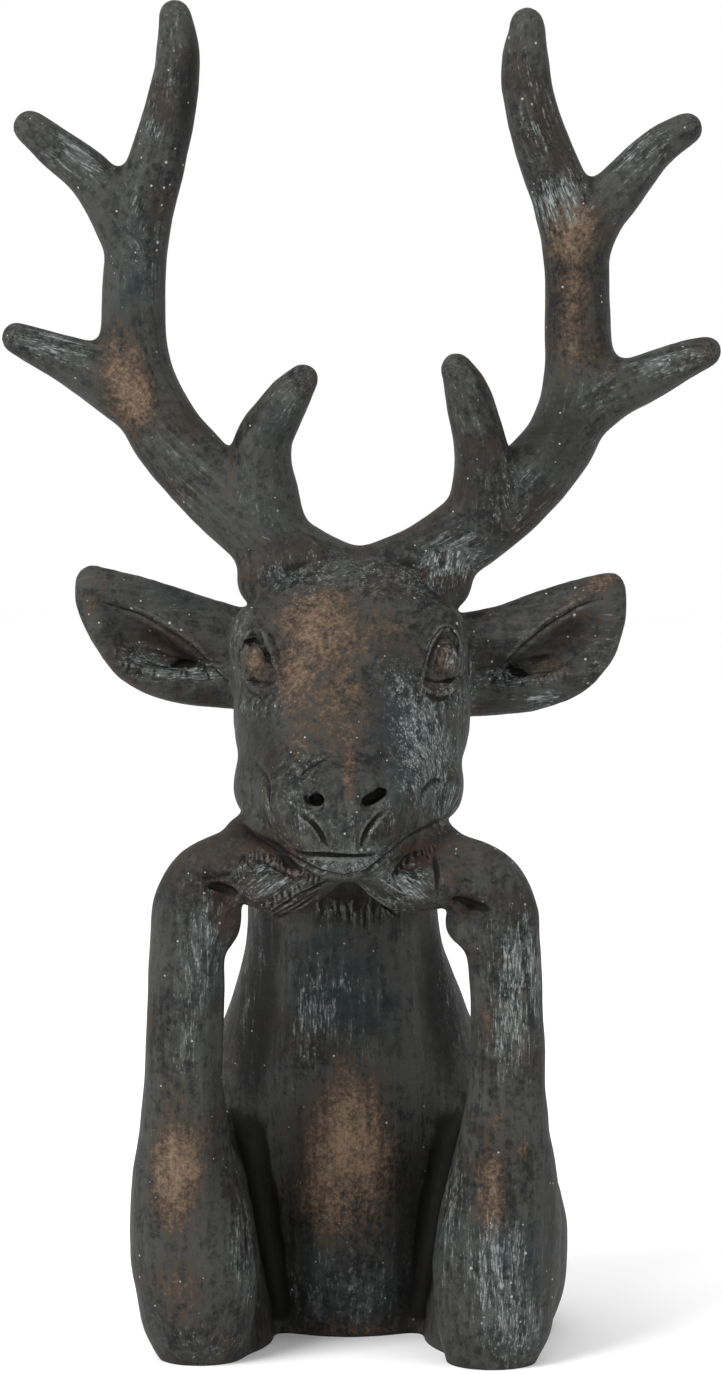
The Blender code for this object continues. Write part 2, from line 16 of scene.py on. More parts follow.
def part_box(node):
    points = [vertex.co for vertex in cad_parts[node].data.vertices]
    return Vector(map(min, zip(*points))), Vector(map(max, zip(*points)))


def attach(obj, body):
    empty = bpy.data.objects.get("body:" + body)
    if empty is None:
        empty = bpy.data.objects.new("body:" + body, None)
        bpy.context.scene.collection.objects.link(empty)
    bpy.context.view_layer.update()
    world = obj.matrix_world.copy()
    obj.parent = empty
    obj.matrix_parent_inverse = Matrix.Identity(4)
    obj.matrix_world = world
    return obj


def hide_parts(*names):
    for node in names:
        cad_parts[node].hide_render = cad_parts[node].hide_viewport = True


FIGURE_HEIGHT = 0.600
PART = FIGURE_HEIGHT / 600

# Grain of the modelling, in parts, and the size of the finished skin
ROUGH_GRAIN = 2.4
FINE_GRAIN = 1.6
SKIN_GRAIN = 1.05
SKIN_LOSS = 0.6
SKIN_TRIANGLES = 190000
CURVE_STEPS = 6
BALL_STEPS = (32, 20)
ROW_STEPS = 4
HEAD_STEPS = 40
COLUMN_STEPS = 48
EAR_STEPS = 28
HOLLOW_STEPS = 20
TRACE_STEP = 0.8
LEAST_MARKS = 4
LINE_ENDS = (0.04, 0.96)
LINE_REACH = 2.6
WELD = 0.02
FAR_IN_FRONT = -200
MID_DEPTH = -40

# Reach of the fillets in parts: at the forks, in the bust and between the two; and rounds for whole skins
FORK_FILLET = 20.1
BUST_FILLET = 9.6
JOIN_FILLET = 4.5
SKIN_ROUNDS = 4
EYE_ROUNDS = 2

# The photographer's place: distance before the figure and height, in metres, downward tilt and lens
CAMERA_DISTANCE = 1.8
CAMERA_HEIGHT = 0.4
CAMERA_TILT = math.radians(3.374)
LENS = 105.45
FILM_HEIGHT = 36
PHOTO_WIDTH = 722
PHOTO_HEIGHT = 1374
PIXELS_PER_SLOPE = LENS / FILM_HEIGHT * PHOTO_HEIGHT
CAMERA_PLACE = (0, -CAMERA_DISTANCE, CAMERA_HEIGHT)
LEVEL, DROP = math.cos(CAMERA_TILT), math.sin(CAMERA_TILT)

# Antlers: x, y, z and radius along each branch, in parts, as seen from the front
LEFT_BEAM = (
    (4, 8, 340, 15), (-22, 8, 350, 17), (-47.5, 9, 369.6, 16), (-66.5, 13, 389.4, 17.2),
    (-84, 16, 410.5, 16.3), (-95.3, 18, 438, 15), (-96.6, 18, 467, 13.9), (-94.5, 15, 496, 13.9),
    (-85.6, 9, 529, 12.5), (-78.6, 4, 555, 10.9), (-75.7, 0, 577, 9.5), (-76.9, -2, 592, 7.2),
)
LEFT_TINES = (
    ((-96, 14, 490, 12.8), (-113.5, 11, 520, 10.7), (-130.6, 8, 534.2, 9.2), (-142.2, 6, 543.6, 7.3)),
    ((-92, 17, 420, 14.4), (-120.5, 14, 437.4, 11.7), (-134.4, 10, 443.5, 9.2), (-148.6, 6, 449.6, 7)),
    ((-37.2, 8, 371, 16.4), (-38.6, -2, 402, 13.1), (-32.6, -8, 413.6, 11), (-25.4, -14, 424.6, 9.3),
     (-20, -18, 431, 6.8)),
)
RIGHT_BEAM = (
    (4, 8, 340, 15), (31, 8, 350, 15), (54.8, 9, 363.8, 17.2), (73.4, 12, 379.2, 17), (88.4, 15, 395, 16.2),
    (97.9, 17, 409, 16), (102.9, 18, 430, 15.3), (102.6, 18, 462, 14.5), (101.2, 15, 491.7, 14.4),
    (95.6, 12, 511.6, 13.4), (82.7, 6, 546.7, 11.6), (78.4, 2, 570, 10.8), (79.1, -1, 588, 7.6),
)
RIGHT_TINES = (
    ((103, 15, 486, 13.4), (108.3, 14, 500.6, 12.8), (121.4, 11, 516.7, 11.2), (139.8, 7, 536.2, 8.5),
     (150.4, 5, 542.8, 7.2)),
    ((97.4, 17, 409, 14.4), (113.2, 17, 423, 13), (134, 14, 432.6, 10.6), (152.9, 8, 441.4, 7.9),
     (160, 6, 443.8, 6.8)),
    ((60.5, 9, 369, 16.5), (59.5, -1, 395.4, 12.3), (57, -6, 408.7, 11), (53.8, -11, 421, 10.4),
     (50.6, -15, 430, 8.9), (47.6, -18, 435.6, 7)),
)
BRANCHES = (LEFT_BEAM, *LEFT_TINES, RIGHT_BEAM, *RIGHT_TINES)

# Head, from the nose back: y, middle x, top, widest level, bottom, half width
HEAD_SECTIONS = (
    (-102, -2.5, 246, 238, 228, 13), (-99, -2.5, 251, 242, 222, 22), (-91, -2.5, 260, 248, 217.5, 31),
    (-80, -2, 273, 252, 216.5, 35), (-66, -1, 292, 258, 218, 38.5), (-50, 0, 315, 268, 222, 44),
    (-34, 1, 334, 274, 226, 50.3), (-18, 1.5, 347, 280, 230, 52), (0, 1.5, 353, 290, 232, 50),
    (20, 1.5, 349, 292, 236, 47), (36, 1.5, 339, 292, 246, 42), (48, 1.5, 326, 292, 256, 33),
    (54, 1.5, 312, 290, 268, 20), (57, 1.5, 299, 290, 280, 8),
)
HEAD_TOP_POWER = 2.7
JAW_POWER = 1.65

# Trunk and neck, from the base up: z, middle x, half width, front y, back y, swell of the breast
TRUNK_SECTIONS = (
    (-8, 0, 82, 10, 99, 10), (20, 0, 85, 6, 102, 13), (50, 0, 85, 3, 104, 15), (90, 0, 77, 0, 100, 14),
    (141, -0.5, 55.5, -4, 86, 9), (159, -1.4, 49.2, -5, 77, 7), (177, -2.3, 44.2, -5, 68, 5),
    (200, -3, 42, -4, 60, 3), (235, -1, 39, -1, 54, 0), (262, 1, 41, 2, 56, 0), (288, 1, 42, 10, 58, 0),
    (306, 1, 38, 16, 56, 0), (324, 1, 26, 22, 45, 0),
)
BREAST_WIDTH = 29
TRUNK_POWER = 2.15

# Upper arms, which tie the elbows to the trunk, in the same columns; the middle is for the right one
ARM_SECTIONS = (
    (-8, 60, 27, -45, 60, 0), (20, 62, 26.5, -43, 62, 0), (46, 65, 26, -38, 62, 0),
    (68, 66, 23.5, -31, 60, 0), (84, 66, 19, -20, 54, 0), (95, 64, 13, -8, 44, 0), (102, 63, 5, 2, 32, 0),
)

# Forelegs, from the elbow to the fetlock: x, y, z, radius
LEFT_LEG = (
    (-62.5, -38, -10, 14), (-66, -42, 16, 25), (-67.5, -45, 42, 28.2), (-69.8, -49, 64, 26.4),
    (-71.2, -53, 82, 23.4), (-71.7, -57, 101, 19.8), (-71.9, -60, 126, 16.8), (-70.7, -62, 161, 16.5),
    (-69.7, -64, 188, 16.3), (-69.1, -65, 202, 15.6), (-64, -66, 214, 14.7), (-52.2, -67, 223, 12.2),
    (-36, -70, 224, 11),
)
RIGHT_LEG = (
    (60, -49, -10, 15.5), (63.6, -48, 16, 25.8), (65, -47, 42, 28.2), (66.6, -49, 62, 27),
    (67.8, -52, 80, 24.4), (68.4, -57, 104, 19.4), (69.4, -60, 126, 16.1), (68.6, -62, 161, 15.6),
    (67, -64, 188, 16), (65.6, -65, 203, 15.6), (60, -66, 214, 14.3), (49.1, -67, 221, 12.1),
    (34, -70, 223, 11),
)

# Bony knobs on the inner side of the wrists: distance from the middle, height, half height
WRIST_KNOBS = ((57.6, 198, 16), (52.8, 196, 11))
WRIST_KNOB_DEPTH = -66
WRIST_KNOB_WIDTH = 11.5
WRIST_KNOB_THICKNESS = 11

# Ears, from the root out: distance from the middle, top, bottom, half depth
LEFT_EAR = (
    (40, 326, 287, 10), (52, 330, 283.6, 12), (66, 334.3, 284.8, 13), (80, 338.7, 287.2, 12.5),
    (93, 342.8, 291.5, 11), (104, 345.6, 298.4, 9.5), (112, 347.4, 309.2, 8), (118.7, 347.8, 321, 6),
    (122.5, 343.5, 331, 3.5),
)
RIGHT_EAR = (
    (40, 323, 283, 10), (52, 326.8, 280.4, 12), (66, 329, 281.2, 13), (80, 334.6, 282.4, 12.5),
    (93, 339.2, 286, 11), (105, 343, 291, 9.5), (114, 345.2, 299.6, 8), (120.9, 345.2, 310.4, 6),
    (124.5, 341, 326, 3.5),
)
EAR_ROOT = 40
EAR_DEPTH_AT_ROOT = 12
EAR_SWEEP = 0.1
HOLLOW_START = 56
HOLLOW_LENGTH = 58
HOLLOW_DEPTH = 1.25
HOLLOW_SHARES = (0, 0.12, 0.3, 0.5, 0.7, 0.88, 1)
HOLLOW_END_SIZE = 0.02

# Shares of the ear's height that its upper edge and its lower rim cover before the hollow, at root and tip
EAR_ROLL = (0.66, 0.16)
EAR_RIM = (0.2, 0.3)

# Masses of the bust, mirrored in the mid-plane: centre, radii and turn about Z
CHEEK = ((38.6, -36, 254), (11.5, 25, 16.5), 6)
BROW = ((41, -24, 314), (12, 16, 19), 0)
NOSTRIL_WING = ((16, -87, 242), (13, 14, 11), 0)
HAUNCH = ((69.5, 22, 38), (30, 46, 54), 0)
WRIST = ((36, -76, 213), (13.5, 13, 10.5), 0)
HOOF = ((20, -79, 213.5), (14, 11, 6.5), 0)

# Masses on the mid-plane of the muzzle
MUZZLE_MIDDLE = -2.5
NOSE_TIP = ((MUZZLE_MIDDLE, -88, 255), (17, 11, 11), 0)
CHIN = ((MUZZLE_MIDDLE, -89, 223.5), (19, 11, 6.5), 0)

# Crowns that the antlers grow from, and where the jaw rests on the hands, left and right
CROWNS = (((-33, 6, 342), (17, 18, 15), 0), ((37, 6, 340.5), (18, 18, 15), 0))
HAND_RESTS = (((-45.5, -59, 234.5), (8, 10, 7), 0), ((43, -60, 232), (6, 8, 5), 0))

# Runs of bone as x, y, z and radius, mirrored in the mid-plane
JAW_EDGE = ((38, -36, 249, 10), (31, -58, 241, 10), (17, -82, 231, 8))
HOOF_TIP = ((32, -78, 204, 3.4), (20, -81, 206, 4), (9, -83, 214, 3.6))

# Small forms on the face: the eyeballs and the paths of the lids, as x and z seen from the front
EYES = ((-40.6, 307.8), (44.2, 306.8))
EYE_RADII = (5.6, 4.5, 7.6)
EYE_TURN = 25
EYE_SHIFT = (-0.5, 1.4)
SOCKET_RADII = (9, 14, 12)
SOCKET_DEPTH = 4
SOCKET_WAY = (-0.35, 0.9, -0.1)
LID_RISE = 0.2
LIDS = (
    ((-45.8, 303), (-46, 313), (-43.6, 320), (-39.4, 321), (-35, 315.5), (-31.9, 307), (-29.6, 298.6)),
    ((-29.6, 298.6), (-35, 296), (-41, 296.2), (-45, 300.5)),
    ((31.5, 297), (33.4, 308), (37, 317.5), (42.3, 322.6), (47, 319.6), (48.8, 312), (48.6, 304)),
    ((31.5, 297), (37.2, 294.4), (43.4, 294.4), (47.6, 298)),
)
LID_RADIUS = 1.5

# Nostrils and carved lines, as x and z seen from the front, with width and depth
NOSTRILS = (((-13.8, 249.6), 4.6, 3.6, 8), ((9.6, 249.4), 4.4, 3.4, 8), ((13.8, 252.4), 3.4, 2.8, 6))
CARVED_LINES = (
    (((-20.4, 246.7), (-15.2, 242.6), (-12.3, 239), (-9.3, 233)), 1, 1.7),
    (((16.5, 248.3), (12.7, 244.7), (8.5, 239.7), (5.9, 233)), 1.1, 1.9),
    (((-9, 269), (-13.7, 266.4), (-18.4, 264.4), (-20.9, 259.6)), 1.4, 1),
    (((-40.6, 264), (-36.5, 261), (-34.4, 256), (-34.6, 249.6), (-34, 243)), 1.8, 2.6),
    (((45.2, 257.3), (37, 257.8), (32.6, 254), (32, 249.3), (33.4, 242.5)), 1.8, 1.4),
    (((-46, 324), (-40, 332), (-30.4, 338.8), (-21.5, 342.5), (-8.2, 345.1), (5.1, 346), (22.8, 343.3),
      (38, 338.4), (47, 330)), 5, 1.3),
    (((-44, 225.5), (-35.2, 223.4), (-28.7, 220.3), (-22.7, 217.5), (-14.6, 218.4)), 1.2, 1.2),
    (((-33, 205.4), (-22.8, 207), (-9, 216.5)), 1, 0.7),
    (((5.1, 217), (10.2, 211.5), (15, 206)), 1.1, 1),
    (((36.8, 225.3), (38.8, 216.5), (38.4, 206)), 1.2, 0.6),
    (((-65.3, 217.4), (-57.6, 216.4), (-49.8, 218.7)), 1.8, 1.8),
    (((-60.2, 214.2), (-52.5, 210.2), (-46, 206.8)), 3, 4.5),
    (((44.4, 206.6), (51.5, 204.4), (60.1, 202.5)), 3, 4.5),
    (((-22.5, 229), (-17.5, 228.2), (-7.6, 228.6), (3.2, 227.6), (9.6, 228.4)), 1.2, 2.6),
    (((35.5, 299), (36.8, 309), (40.6, 315.6), (44.9, 315.8), (47.4, 309.7)), 1.2, -1),
)
CHEST_VALLEYS = (
    ((-31.5, 196), (-33, 180), (-36.5, 152), (-41, 117), (-42, 90), (-36, 44), (-31, 6)),
    ((34, 196), (35, 180), (37.5, 152), (42, 117), (42, 92), (36, 44), (31, 6)),
)
VALLEY_WIDTH = 9
VALLEY_DEPTH = 4
CHEST_TUFTS = ((-14, 196), (-8.4, 193.5), (-3, 196), (2.8, 195), (8.6, 193), (14, 196.5))
TUFT_DROP = 9
TUFT_SPREAD = 1.05
TUFT_WIDTH = 1.6
TUFT_HEIGHT = 1.0
NOSTRIL_THICKNESS = 8
NOSTRIL_WAY = (0, 0.95, 0.3)

# Hollows of the cheeks before the eyes, mirrored: place, radii, depth and way in
CHEEK_HOLLOW = ((38, 279), (9, 14, 15), 2.5, (-0.5, 0.8, 0))

# Fine carving, as paths of photo pixels, each with width and depth in parts; a negative depth stands proud
EAR_LIPS = (
    ((227, 674), (212, 660), (196, 643), (180, 631), (160, 619), (140, 609), (118, 601), (100, 594)),
    ((499, 665), (510, 653), (521, 641), (534, 629), (547, 619), (561, 610), (575, 601), (589, 595),
     (602, 592)),
)
EAR_FLOORS = (
    ((213, 671), (188, 671), (168, 675), (149, 672), (136, 670), (124, 662), (115, 651)),
    ((491, 671), (503, 679), (516, 680), (531, 681), (549, 680), (566, 673)),
)
EAR_FOLDS = (
    ((131, 642), (152, 646), (175, 654), (194, 661)),
    ((515, 661), (530, 655), (545, 652), (557, 654)),
)
EAR_SLITS = (
    ((174, 664), (185, 663), (195, 665)),
    ((507, 664), (514, 672), (528, 674)),
)
EYE_GAPS = (
    ((240, 668), (239, 652), (245, 642), (255, 640), (264, 649), (270, 661), (278, 679)),
    ((244, 678), (256, 681), (272, 682)),
    ((420, 674), (427, 653), (433, 638), (442, 628), (450, 628), (457, 639), (459, 655), (457, 672)),
    ((424, 678), (436, 681), (450, 681), (458, 676)),
)
TRACED_LINES = (
    (((300, 815), (312, 823), (320, 832), (327, 845)), 0.8, 0.5),
    (((387, 807), (378, 815), (369, 825), (364, 834), (361, 845)), 0.9, 0.7),
    (((298, 853), (312, 855), (334, 856), (358, 855), (372, 856), (388, 854)), 0.8, 0.5),
    (((300, 792), (306, 797), (309, 805)), 1.2, 0.8),
    (((264, 780), (269, 789), (269, 801), (272, 817)), 1.3, 1),
    (((447, 781), (433, 783), (423, 790), (419, 802), (422, 815)), 1.4, 0.5),
    (((240, 821), (255, 832), (270, 842), (285, 853), (300, 862), (320, 872), (343, 877), (367, 872),
      (387, 856), (410, 837), (433, 823), (452, 813)), 1.3, 1.7),
    (((246, 690), (262, 700), (270, 694)), 1.6, 0.7),
    (((424, 692), (440, 700), (455, 694)), 1.8, 0.9),
    (((300, 775), (313, 766), (327, 758)), 1.1, 0.5),
    (((217, 918), (205, 945), (199, 980), (196, 1035)), 5, -1.1),
    (((222, 925), (216, 955), (211, 990)), 4, 0.8),
    (((455, 915), (466, 930), (478, 945)), 3, 0.8),
    (((240, 1182), (246, 1225), (249, 1272)), 1.6, 0.7),
    (((452, 1165), (446, 1200), (440, 1230)), 1.6, 0.7),
    (((246, 826), (262, 838), (278, 852), (296, 868), (318, 878)), 2, 1.3),
    (((232, 862), (243, 858), (252, 868), (258, 880)), 1.4, 1),
    (((434, 852), (437, 872), (438, 893)), 1.5, 1.2),
    (((388, 882), (398, 868), (408, 855)), 1.3, 0.8),
    (((174, 905), (188, 894), (205, 888), (222, 886)), 2.2, 0.9),
    (((452, 884), (466, 880), (482, 886)), 2, 0.9),
)
NOSTRIL_HOLES = (((312, 800), (321, 801)), ((363, 803), (372, 797), (383, 789)))
NOSTRIL_RIMS = (
    ((308, 803), (310, 794), (317, 790), (324, 794), (326, 803)),
    ((359, 806), (362, 797), (371, 789), (382, 783)),
)
FRINGES = (
    ((272, 911), (330, 879), 5, (-2, 4)),
    ((391, 911), (354, 879), 5, (3, 3)),
)
HOOF_FUR = (
    ((236, 872), (243, 860), (256, 852), (272, 856), (288, 866), (304, 874), (322, 880)),
    ((388, 884), (397, 868), (409, 857), (424, 850), (434, 846)),
    ((262, 905), (285, 893), (305, 884)),
    ((372, 893), (385, 905), (400, 910)),
)
CHIN_TUFTS = ((318, 897), (326, 903), (334, 898), (343, 905), (352, 899), (361, 904), (370, 898),
              (378, 903))

# Sets of paths that are carved alike: how far below each path in pixels, then width and depth
TRACED_ALIKE = (
    (EAR_LIPS, 0, 1.4, -0.9), (EAR_LIPS, 7, 1.3, 1.3), (EAR_FLOORS, 0, 2.2, -0.9),
    (EAR_FLOORS, -9, 1.5, 1), (EAR_FOLDS, 0, 1.4, -0.8), (EAR_SLITS, 0, 1.4, 1.8),
    (EYE_GAPS, 0, 0.9, 1.4), (NOSTRIL_HOLES, 0, 2.5, 2.6), (NOSTRIL_RIMS, 0, 1.2, -0.8),
)

# Hairs: least and most lean and length in pixels, how far above their place they start, width and depth
EAR_HAIR = ((-5, 7), (6, 16), 5, 0.6, 0.55)
HOOF_HAIR = ((-5, 5), (5, 13), 3, 0.6, 0.7)
CHIN_HAIR = ((-4, 4), (12, 28.8), 0, 0.9, -0.5)
CHIN_GAP_SHIFTS = ((4, -2), (4, -5))
CHIN_GAP_SIZE = (0.7, 0.5)
FRINGE_SPREAD = (0.7, 1.3)
FRINGE_BOW = 4
FRINGE_SIZE = (0.7, 0.7)
EAR_HAIR_COUNT = 3
HOOF_HAIR_STEP = 4
FUR_SEED = 8

# Hand-made unevenness: wavelengths in parts with heights, and the height it starts from; sums of waves
DENT_WAVES = ((34, 0.16), (19, 0.09), (11, 0.05))
DENT_SEED = 5
DENT_START = 6
WAVE_COUNT = 9
WAVE_SPREAD = (0.7, 1.4)

# The paint, as ovals of photo pixels: centre, half width, half height, strength, and tilt in degrees if any
BROWN_RUBS = (
    (255, 661, 13, 17, 0.85), (443, 660, 13, 19, 0.75), (325, 632, 46, 50, 0.8, 12),
    (338, 700, 30, 64, 0.6), (300, 670, 24, 50, 0.7, 10), (372, 624, 40, 24, 0.5), (349, 765, 8, 34, 0.7),
    (350, 1150, 46, 68, 1), (300, 735, 16, 34, 0.5, 12), (335, 1195, 46, 42, 0.8), (345, 1085, 16, 34, 0.6),
    (177, 1175, 26, 62, 0.95, 4), (172, 1105, 17, 40, 0.5), (178, 1290, 26, 42, 0.45),
    (205, 1135, 10, 18, 0.5), (491, 1190, 17, 42, 0.8), (520, 1020, 7, 48, 0.45), (487, 1015, 6, 20, 0.5),
    (496, 1120, 8, 16, 0.55, 20), (524, 1148, 6, 12, 0.6, 20), (127, 382, 26, 48, 0.9, -22),
    (112, 360, 16, 32, 0.6, -12), (570, 232, 26, 38, 0.95), (570, 310, 18, 70, 0.6),
    (585, 352, 22, 28, 0.45), (608, 372, 22, 14, 0.4), (600, 582, 24, 11, 0.65, -20),
    (575, 600, 32, 8, 0.5, -32), (128, 690, 30, 14, 0.45, 35), (545, 668, 22, 12, 0.55, -8),
    (94, 600, 16, 24, 0.35, 30), (300, 848, 34, 9, 0.3, 28), (455, 862, 14, 26, 0.35),
    (565, 1205, 5, 28, 0.4), (345, 1329, 70, 5, 0.6), (232, 455, 12, 26, 0.35), (255, 560, 10, 40, 0.25),
)
PALE_BRUSHING = (
    (449, 656, 8, 13, 0.8), (253, 652, 9, 8, 0.4), (345, 912, 36, 12, 0.55), (425, 745, 32, 62, 0.93, -8),
    (408, 700, 20, 40, 0.65, -20), (443, 800, 24, 30, 0.8), (345, 862, 58, 16, 0.8),
    (290, 815, 32, 34, 0.5, 20), (384, 828, 22, 30, 0.45), (345, 832, 22, 26, 0.45),
    (268, 880, 34, 26, 0.75, 8), (400, 885, 30, 24, 0.8, -20), (305, 770, 22, 20, 0.45, -30),
    (262, 706, 26, 14, 0.5), (448, 695, 18, 14, 0.75), (240, 640, 12, 40, 0.45), (466, 690, 12, 50, 0.6),
    (258, 665, 16, 28, 0.25), (316, 1010, 26, 52, 0.75, 8), (340, 985, 40, 16, 0.6, 10),
    (352, 1040, 34, 34, 0.3), (200, 955, 22, 56, 0.7, 4), (205, 905, 26, 24, 0.55),
    (190, 1040, 16, 44, 0.45), (517, 990, 26, 80, 0.92, 6), (500, 940, 30, 30, 0.25),
    (242, 1250, 14, 60, 0.55, -4), (452, 1220, 14, 62, 0.6, 6), (500, 1275, 34, 54, 0.85),
    (512, 1325, 30, 38, 0.85), (205, 1345, 50, 18, 0.35), (455, 560, 40, 26, 0.85, -30),
    (300, 575, 46, 26, 0.5), (420, 575, 40, 22, 0.55), (560, 200, 30, 30, 0.9),
    (640, 155, 36, 26, 0.7, -38), (75, 155, 40, 22, 0.75, 32), (55, 345, 44, 18, 0.75, 14),
    (140, 240, 22, 70, 0.45), (540, 120, 16, 60, 0.5), (155, 130, 8, 12, 1), (150, 415, 18, 52, 0.3, -20),
    (665, 362, 44, 16, 0.65, -12), (600, 390, 34, 24, 0.45, -20), (515, 500, 40, 34, 0.55, -40),
    (180, 480, 34, 34, 0.4, 40), (262, 500, 22, 50, 0.3), (285, 400, 22, 40, 0.35, 18),
    (470, 410, 20, 44, 0.3, -12), (165, 80, 20, 70, 0.35, 8), (520, 80, 20, 60, 0.35),
    (150, 600, 60, 12, 0.2, 18), (185, 672, 44, 10, 0.9), (140, 655, 22, 18, 0.65),
    (512, 676, 34, 12, 0.85), (540, 700, 26, 10, 0.75), (560, 615, 40, 8, 0.5, -30),
    (600, 660, 26, 44, 0.4, 20), (232, 945, 5, 60, 0.2), (252, 980, 12, 70, 0.35, 8),
    (452, 985, 12, 80, 0.4, -10), (225, 1000, 8, 60, 0.3), (345, 1290, 70, 40, 0.4),
    (345, 575, 60, 20, 0.55),
)
RUSTY_HOLLOWS = (
    (170, 645, 50, 20, 0.9, 22), (575, 630, 48, 26, 0.65, -22), (280, 858, 40, 16, 0.9, 38),
    (425, 850, 34, 18, 0.9, -30), (222, 905, 16, 30, 0.8), (465, 905, 18, 20, 0.7), (345, 905, 70, 22, 0.7),
    (220, 590, 14, 20, 0.6), (485, 610, 14, 18, 0.5), (500, 1015, 12, 60, 0.4), (435, 815, 18, 16, 0.35),
    (225, 475, 14, 36, 0.4), (535, 205, 8, 26, 0.4), (590, 345, 22, 22, 0.4), (440, 690, 20, 12, 0.6),
    (478, 708, 14, 12, 0.6), (280, 1190, 10, 60, 0.25), (345, 1331, 74, 6, 0.9), (480, 1040, 8, 30, 0.5),
)
SPECKLED_PLACES = (
    (172, 150, 28, 110, 1, 8), (155, 260, 30, 50, 0.8), (150, 630, 60, 40, 0.8, 20),
    (560, 640, 60, 40, 0.7, -20), (525, 60, 20, 50, 0.6), (560, 190, 40, 40, 0.5), (240, 640, 20, 60, 0.6),
    (460, 660, 20, 60, 0.7), (495, 900, 30, 60, 0.6), (180, 1180, 40, 120, 0.4), (500, 1250, 40, 100, 0.6),
    (345, 1300, 60, 30, 0.5),
)
# Painted shade: ovals where the colour is darkened because shade falls there, under the chin, in the
# grooves beside the forelegs, in the ears and on the shaded sides of the antlers
PAINTED_SHADE_PLACES = (
    (188, 110, 9, 90, 0.8, 6), (165, 300, 8, 90, 0.5), (275, 440, 14, 40, 0.4, 20), (600, 280, 8, 60, 0.4),
    (262, 745, 20, 40, 0.7), (150, 600, 50, 14, 0.45, 18), (165, 640, 34, 14, 0.7, 22),
    (570, 636, 36, 16, 0.5, -24), (257, 1010, 22, 96, 1, 5), (440, 1000, 20, 96, 1, -6),
    (298, 1240, 18, 120, 0.6), (408, 1240, 20, 120, 0.7), (345, 905, 64, 22, 0.9),
    (192, 660, 24, 12, 0.9, 20), (506, 664, 18, 12, 0.9, -20), (560, 430, 26, 46, 0.7, 10),
    (250, 836, 22, 8, 0.7, 35), (440, 836, 22, 8, 0.6, -35), (188, 70, 10, 60, 0.5), (532, 100, 8, 60, 0.3),
    (555, 1200, 12, 120, 0.4), (214, 1130, 10, 100, 0.5), (232, 1000, 7, 90, 0.5),
    (168, 650, 44, 14, 0.5, 22), (575, 640, 40, 16, 0.45, -22), (275, 745, 22, 40, 0.3),
    (380, 730, 16, 60, 0.35), (540, 890, 10, 60, 0.4), (165, 900, 12, 60, 0.4),
)
TEAL_TINTS = (
    (400, 730, 34, 90, 0.7), (345, 780, 30, 30, 0.5), (350, 985, 60, 60, 0.8), (345, 1290, 70, 50, 0.6),
    (512, 1270, 34, 70, 0.7), (200, 980, 30, 70, 0.5), (165, 590, 40, 14, 0.6, 18), (135, 260, 24, 70, 0.6),
    (500, 500, 60, 40, 0.5, -40), (270, 470, 30, 90, 0.35), (260, 1230, 22, 70, 0.5),
    (445, 1200, 24, 80, 0.4), (570, 620, 40, 20, 0.3, -20), (515, 960, 30, 80, 0.4),
)

# Marks on the skin that the paint follows: its relief, by rounds of averaging and height in parts; and the
# ovals, with the waves that take their place behind: length, seed, size, lift and most
RELIEF_MARKS = {"crease": (7, 0.16), "hollow": (45, 0.9)}
PAINT_MARKS = {
    "rub": (BROWN_RUBS, 75, 11, 0.8, -0.35, 0.8), "pale": (PALE_BRUSHING, 55, 12, 0.7, 0.05, 0.6),
    "rust": (RUSTY_HOLLOWS, 60, 13, 0.5, -0.2, 0.4), "teal": (TEAL_TINTS, 90, 14, 0.5, 0.3, 0.8),
    "painted_shade": (PAINTED_SHADE_PLACES, 80, 15, 0.5, 0, 0.6), "spots": (SPECKLED_PLACES, 70, 16, 0.5, 0, 0.6),
}
OVAL_FALL = 0.7
FRONT_FACING = (-0.15, 0.3)

# Colours of the paint, linear
DARK_PAINT = (0.0065, 0.0072, 0.0072)
# Near-black colour of painted shade, laid where shade falls
PAINTED_SHADE_COLOUR = (0.0042, 0.0042, 0.0038)
MID_PAINT = (0.038, 0.0395, 0.0365)
BROWNISH_PAINT = (0.0266, 0.0192, 0.0141)
TEAL_PAINT = (0.0118, 0.0207, 0.0229)
RUST_PAINT = (0.0333, 0.0148, 0.0089)
DARK_BROWN = (0.034, 0.0229, 0.0155)
RUBBED_BROWN = (0.155, 0.106, 0.07)
HAZE_PAINT = (0.068, 0.077, 0.076)
PALE_PAINT = (0.225, 0.2475, 0.243)
RIM_PAINT = (0.0851, 0.0873, 0.0814)
SPECK_PAINT = (0.3, 0.29, 0.27)
# Near-black colour of painted shade in creases and hollows
PAINTED_RECESS_SHADE = (0.0032, 0.0028, 0.0024)

# Noises of the paint: size in parts, detail, roughness, and the values taken as none and as full
NOISES = {
    "grain": (4.5, 5, 0.6, 0.34, 0.66), "mottle": (1.8, 5, 0.75, 0.34, 0.66),
    "blotch": (24, 4, 0.6, 0.36, 0.64), "cloud": (50, 3, 0.6, 0.38, 0.62),
    "strands": (0.8, 4, 0.7, 0.32, 0.68), "sweeps": (3.2, 4, 0.65, 0.34, 0.66),
}
STROKE_NOISES = ("strands", "sweeps")
SPECK_SPACING = 6

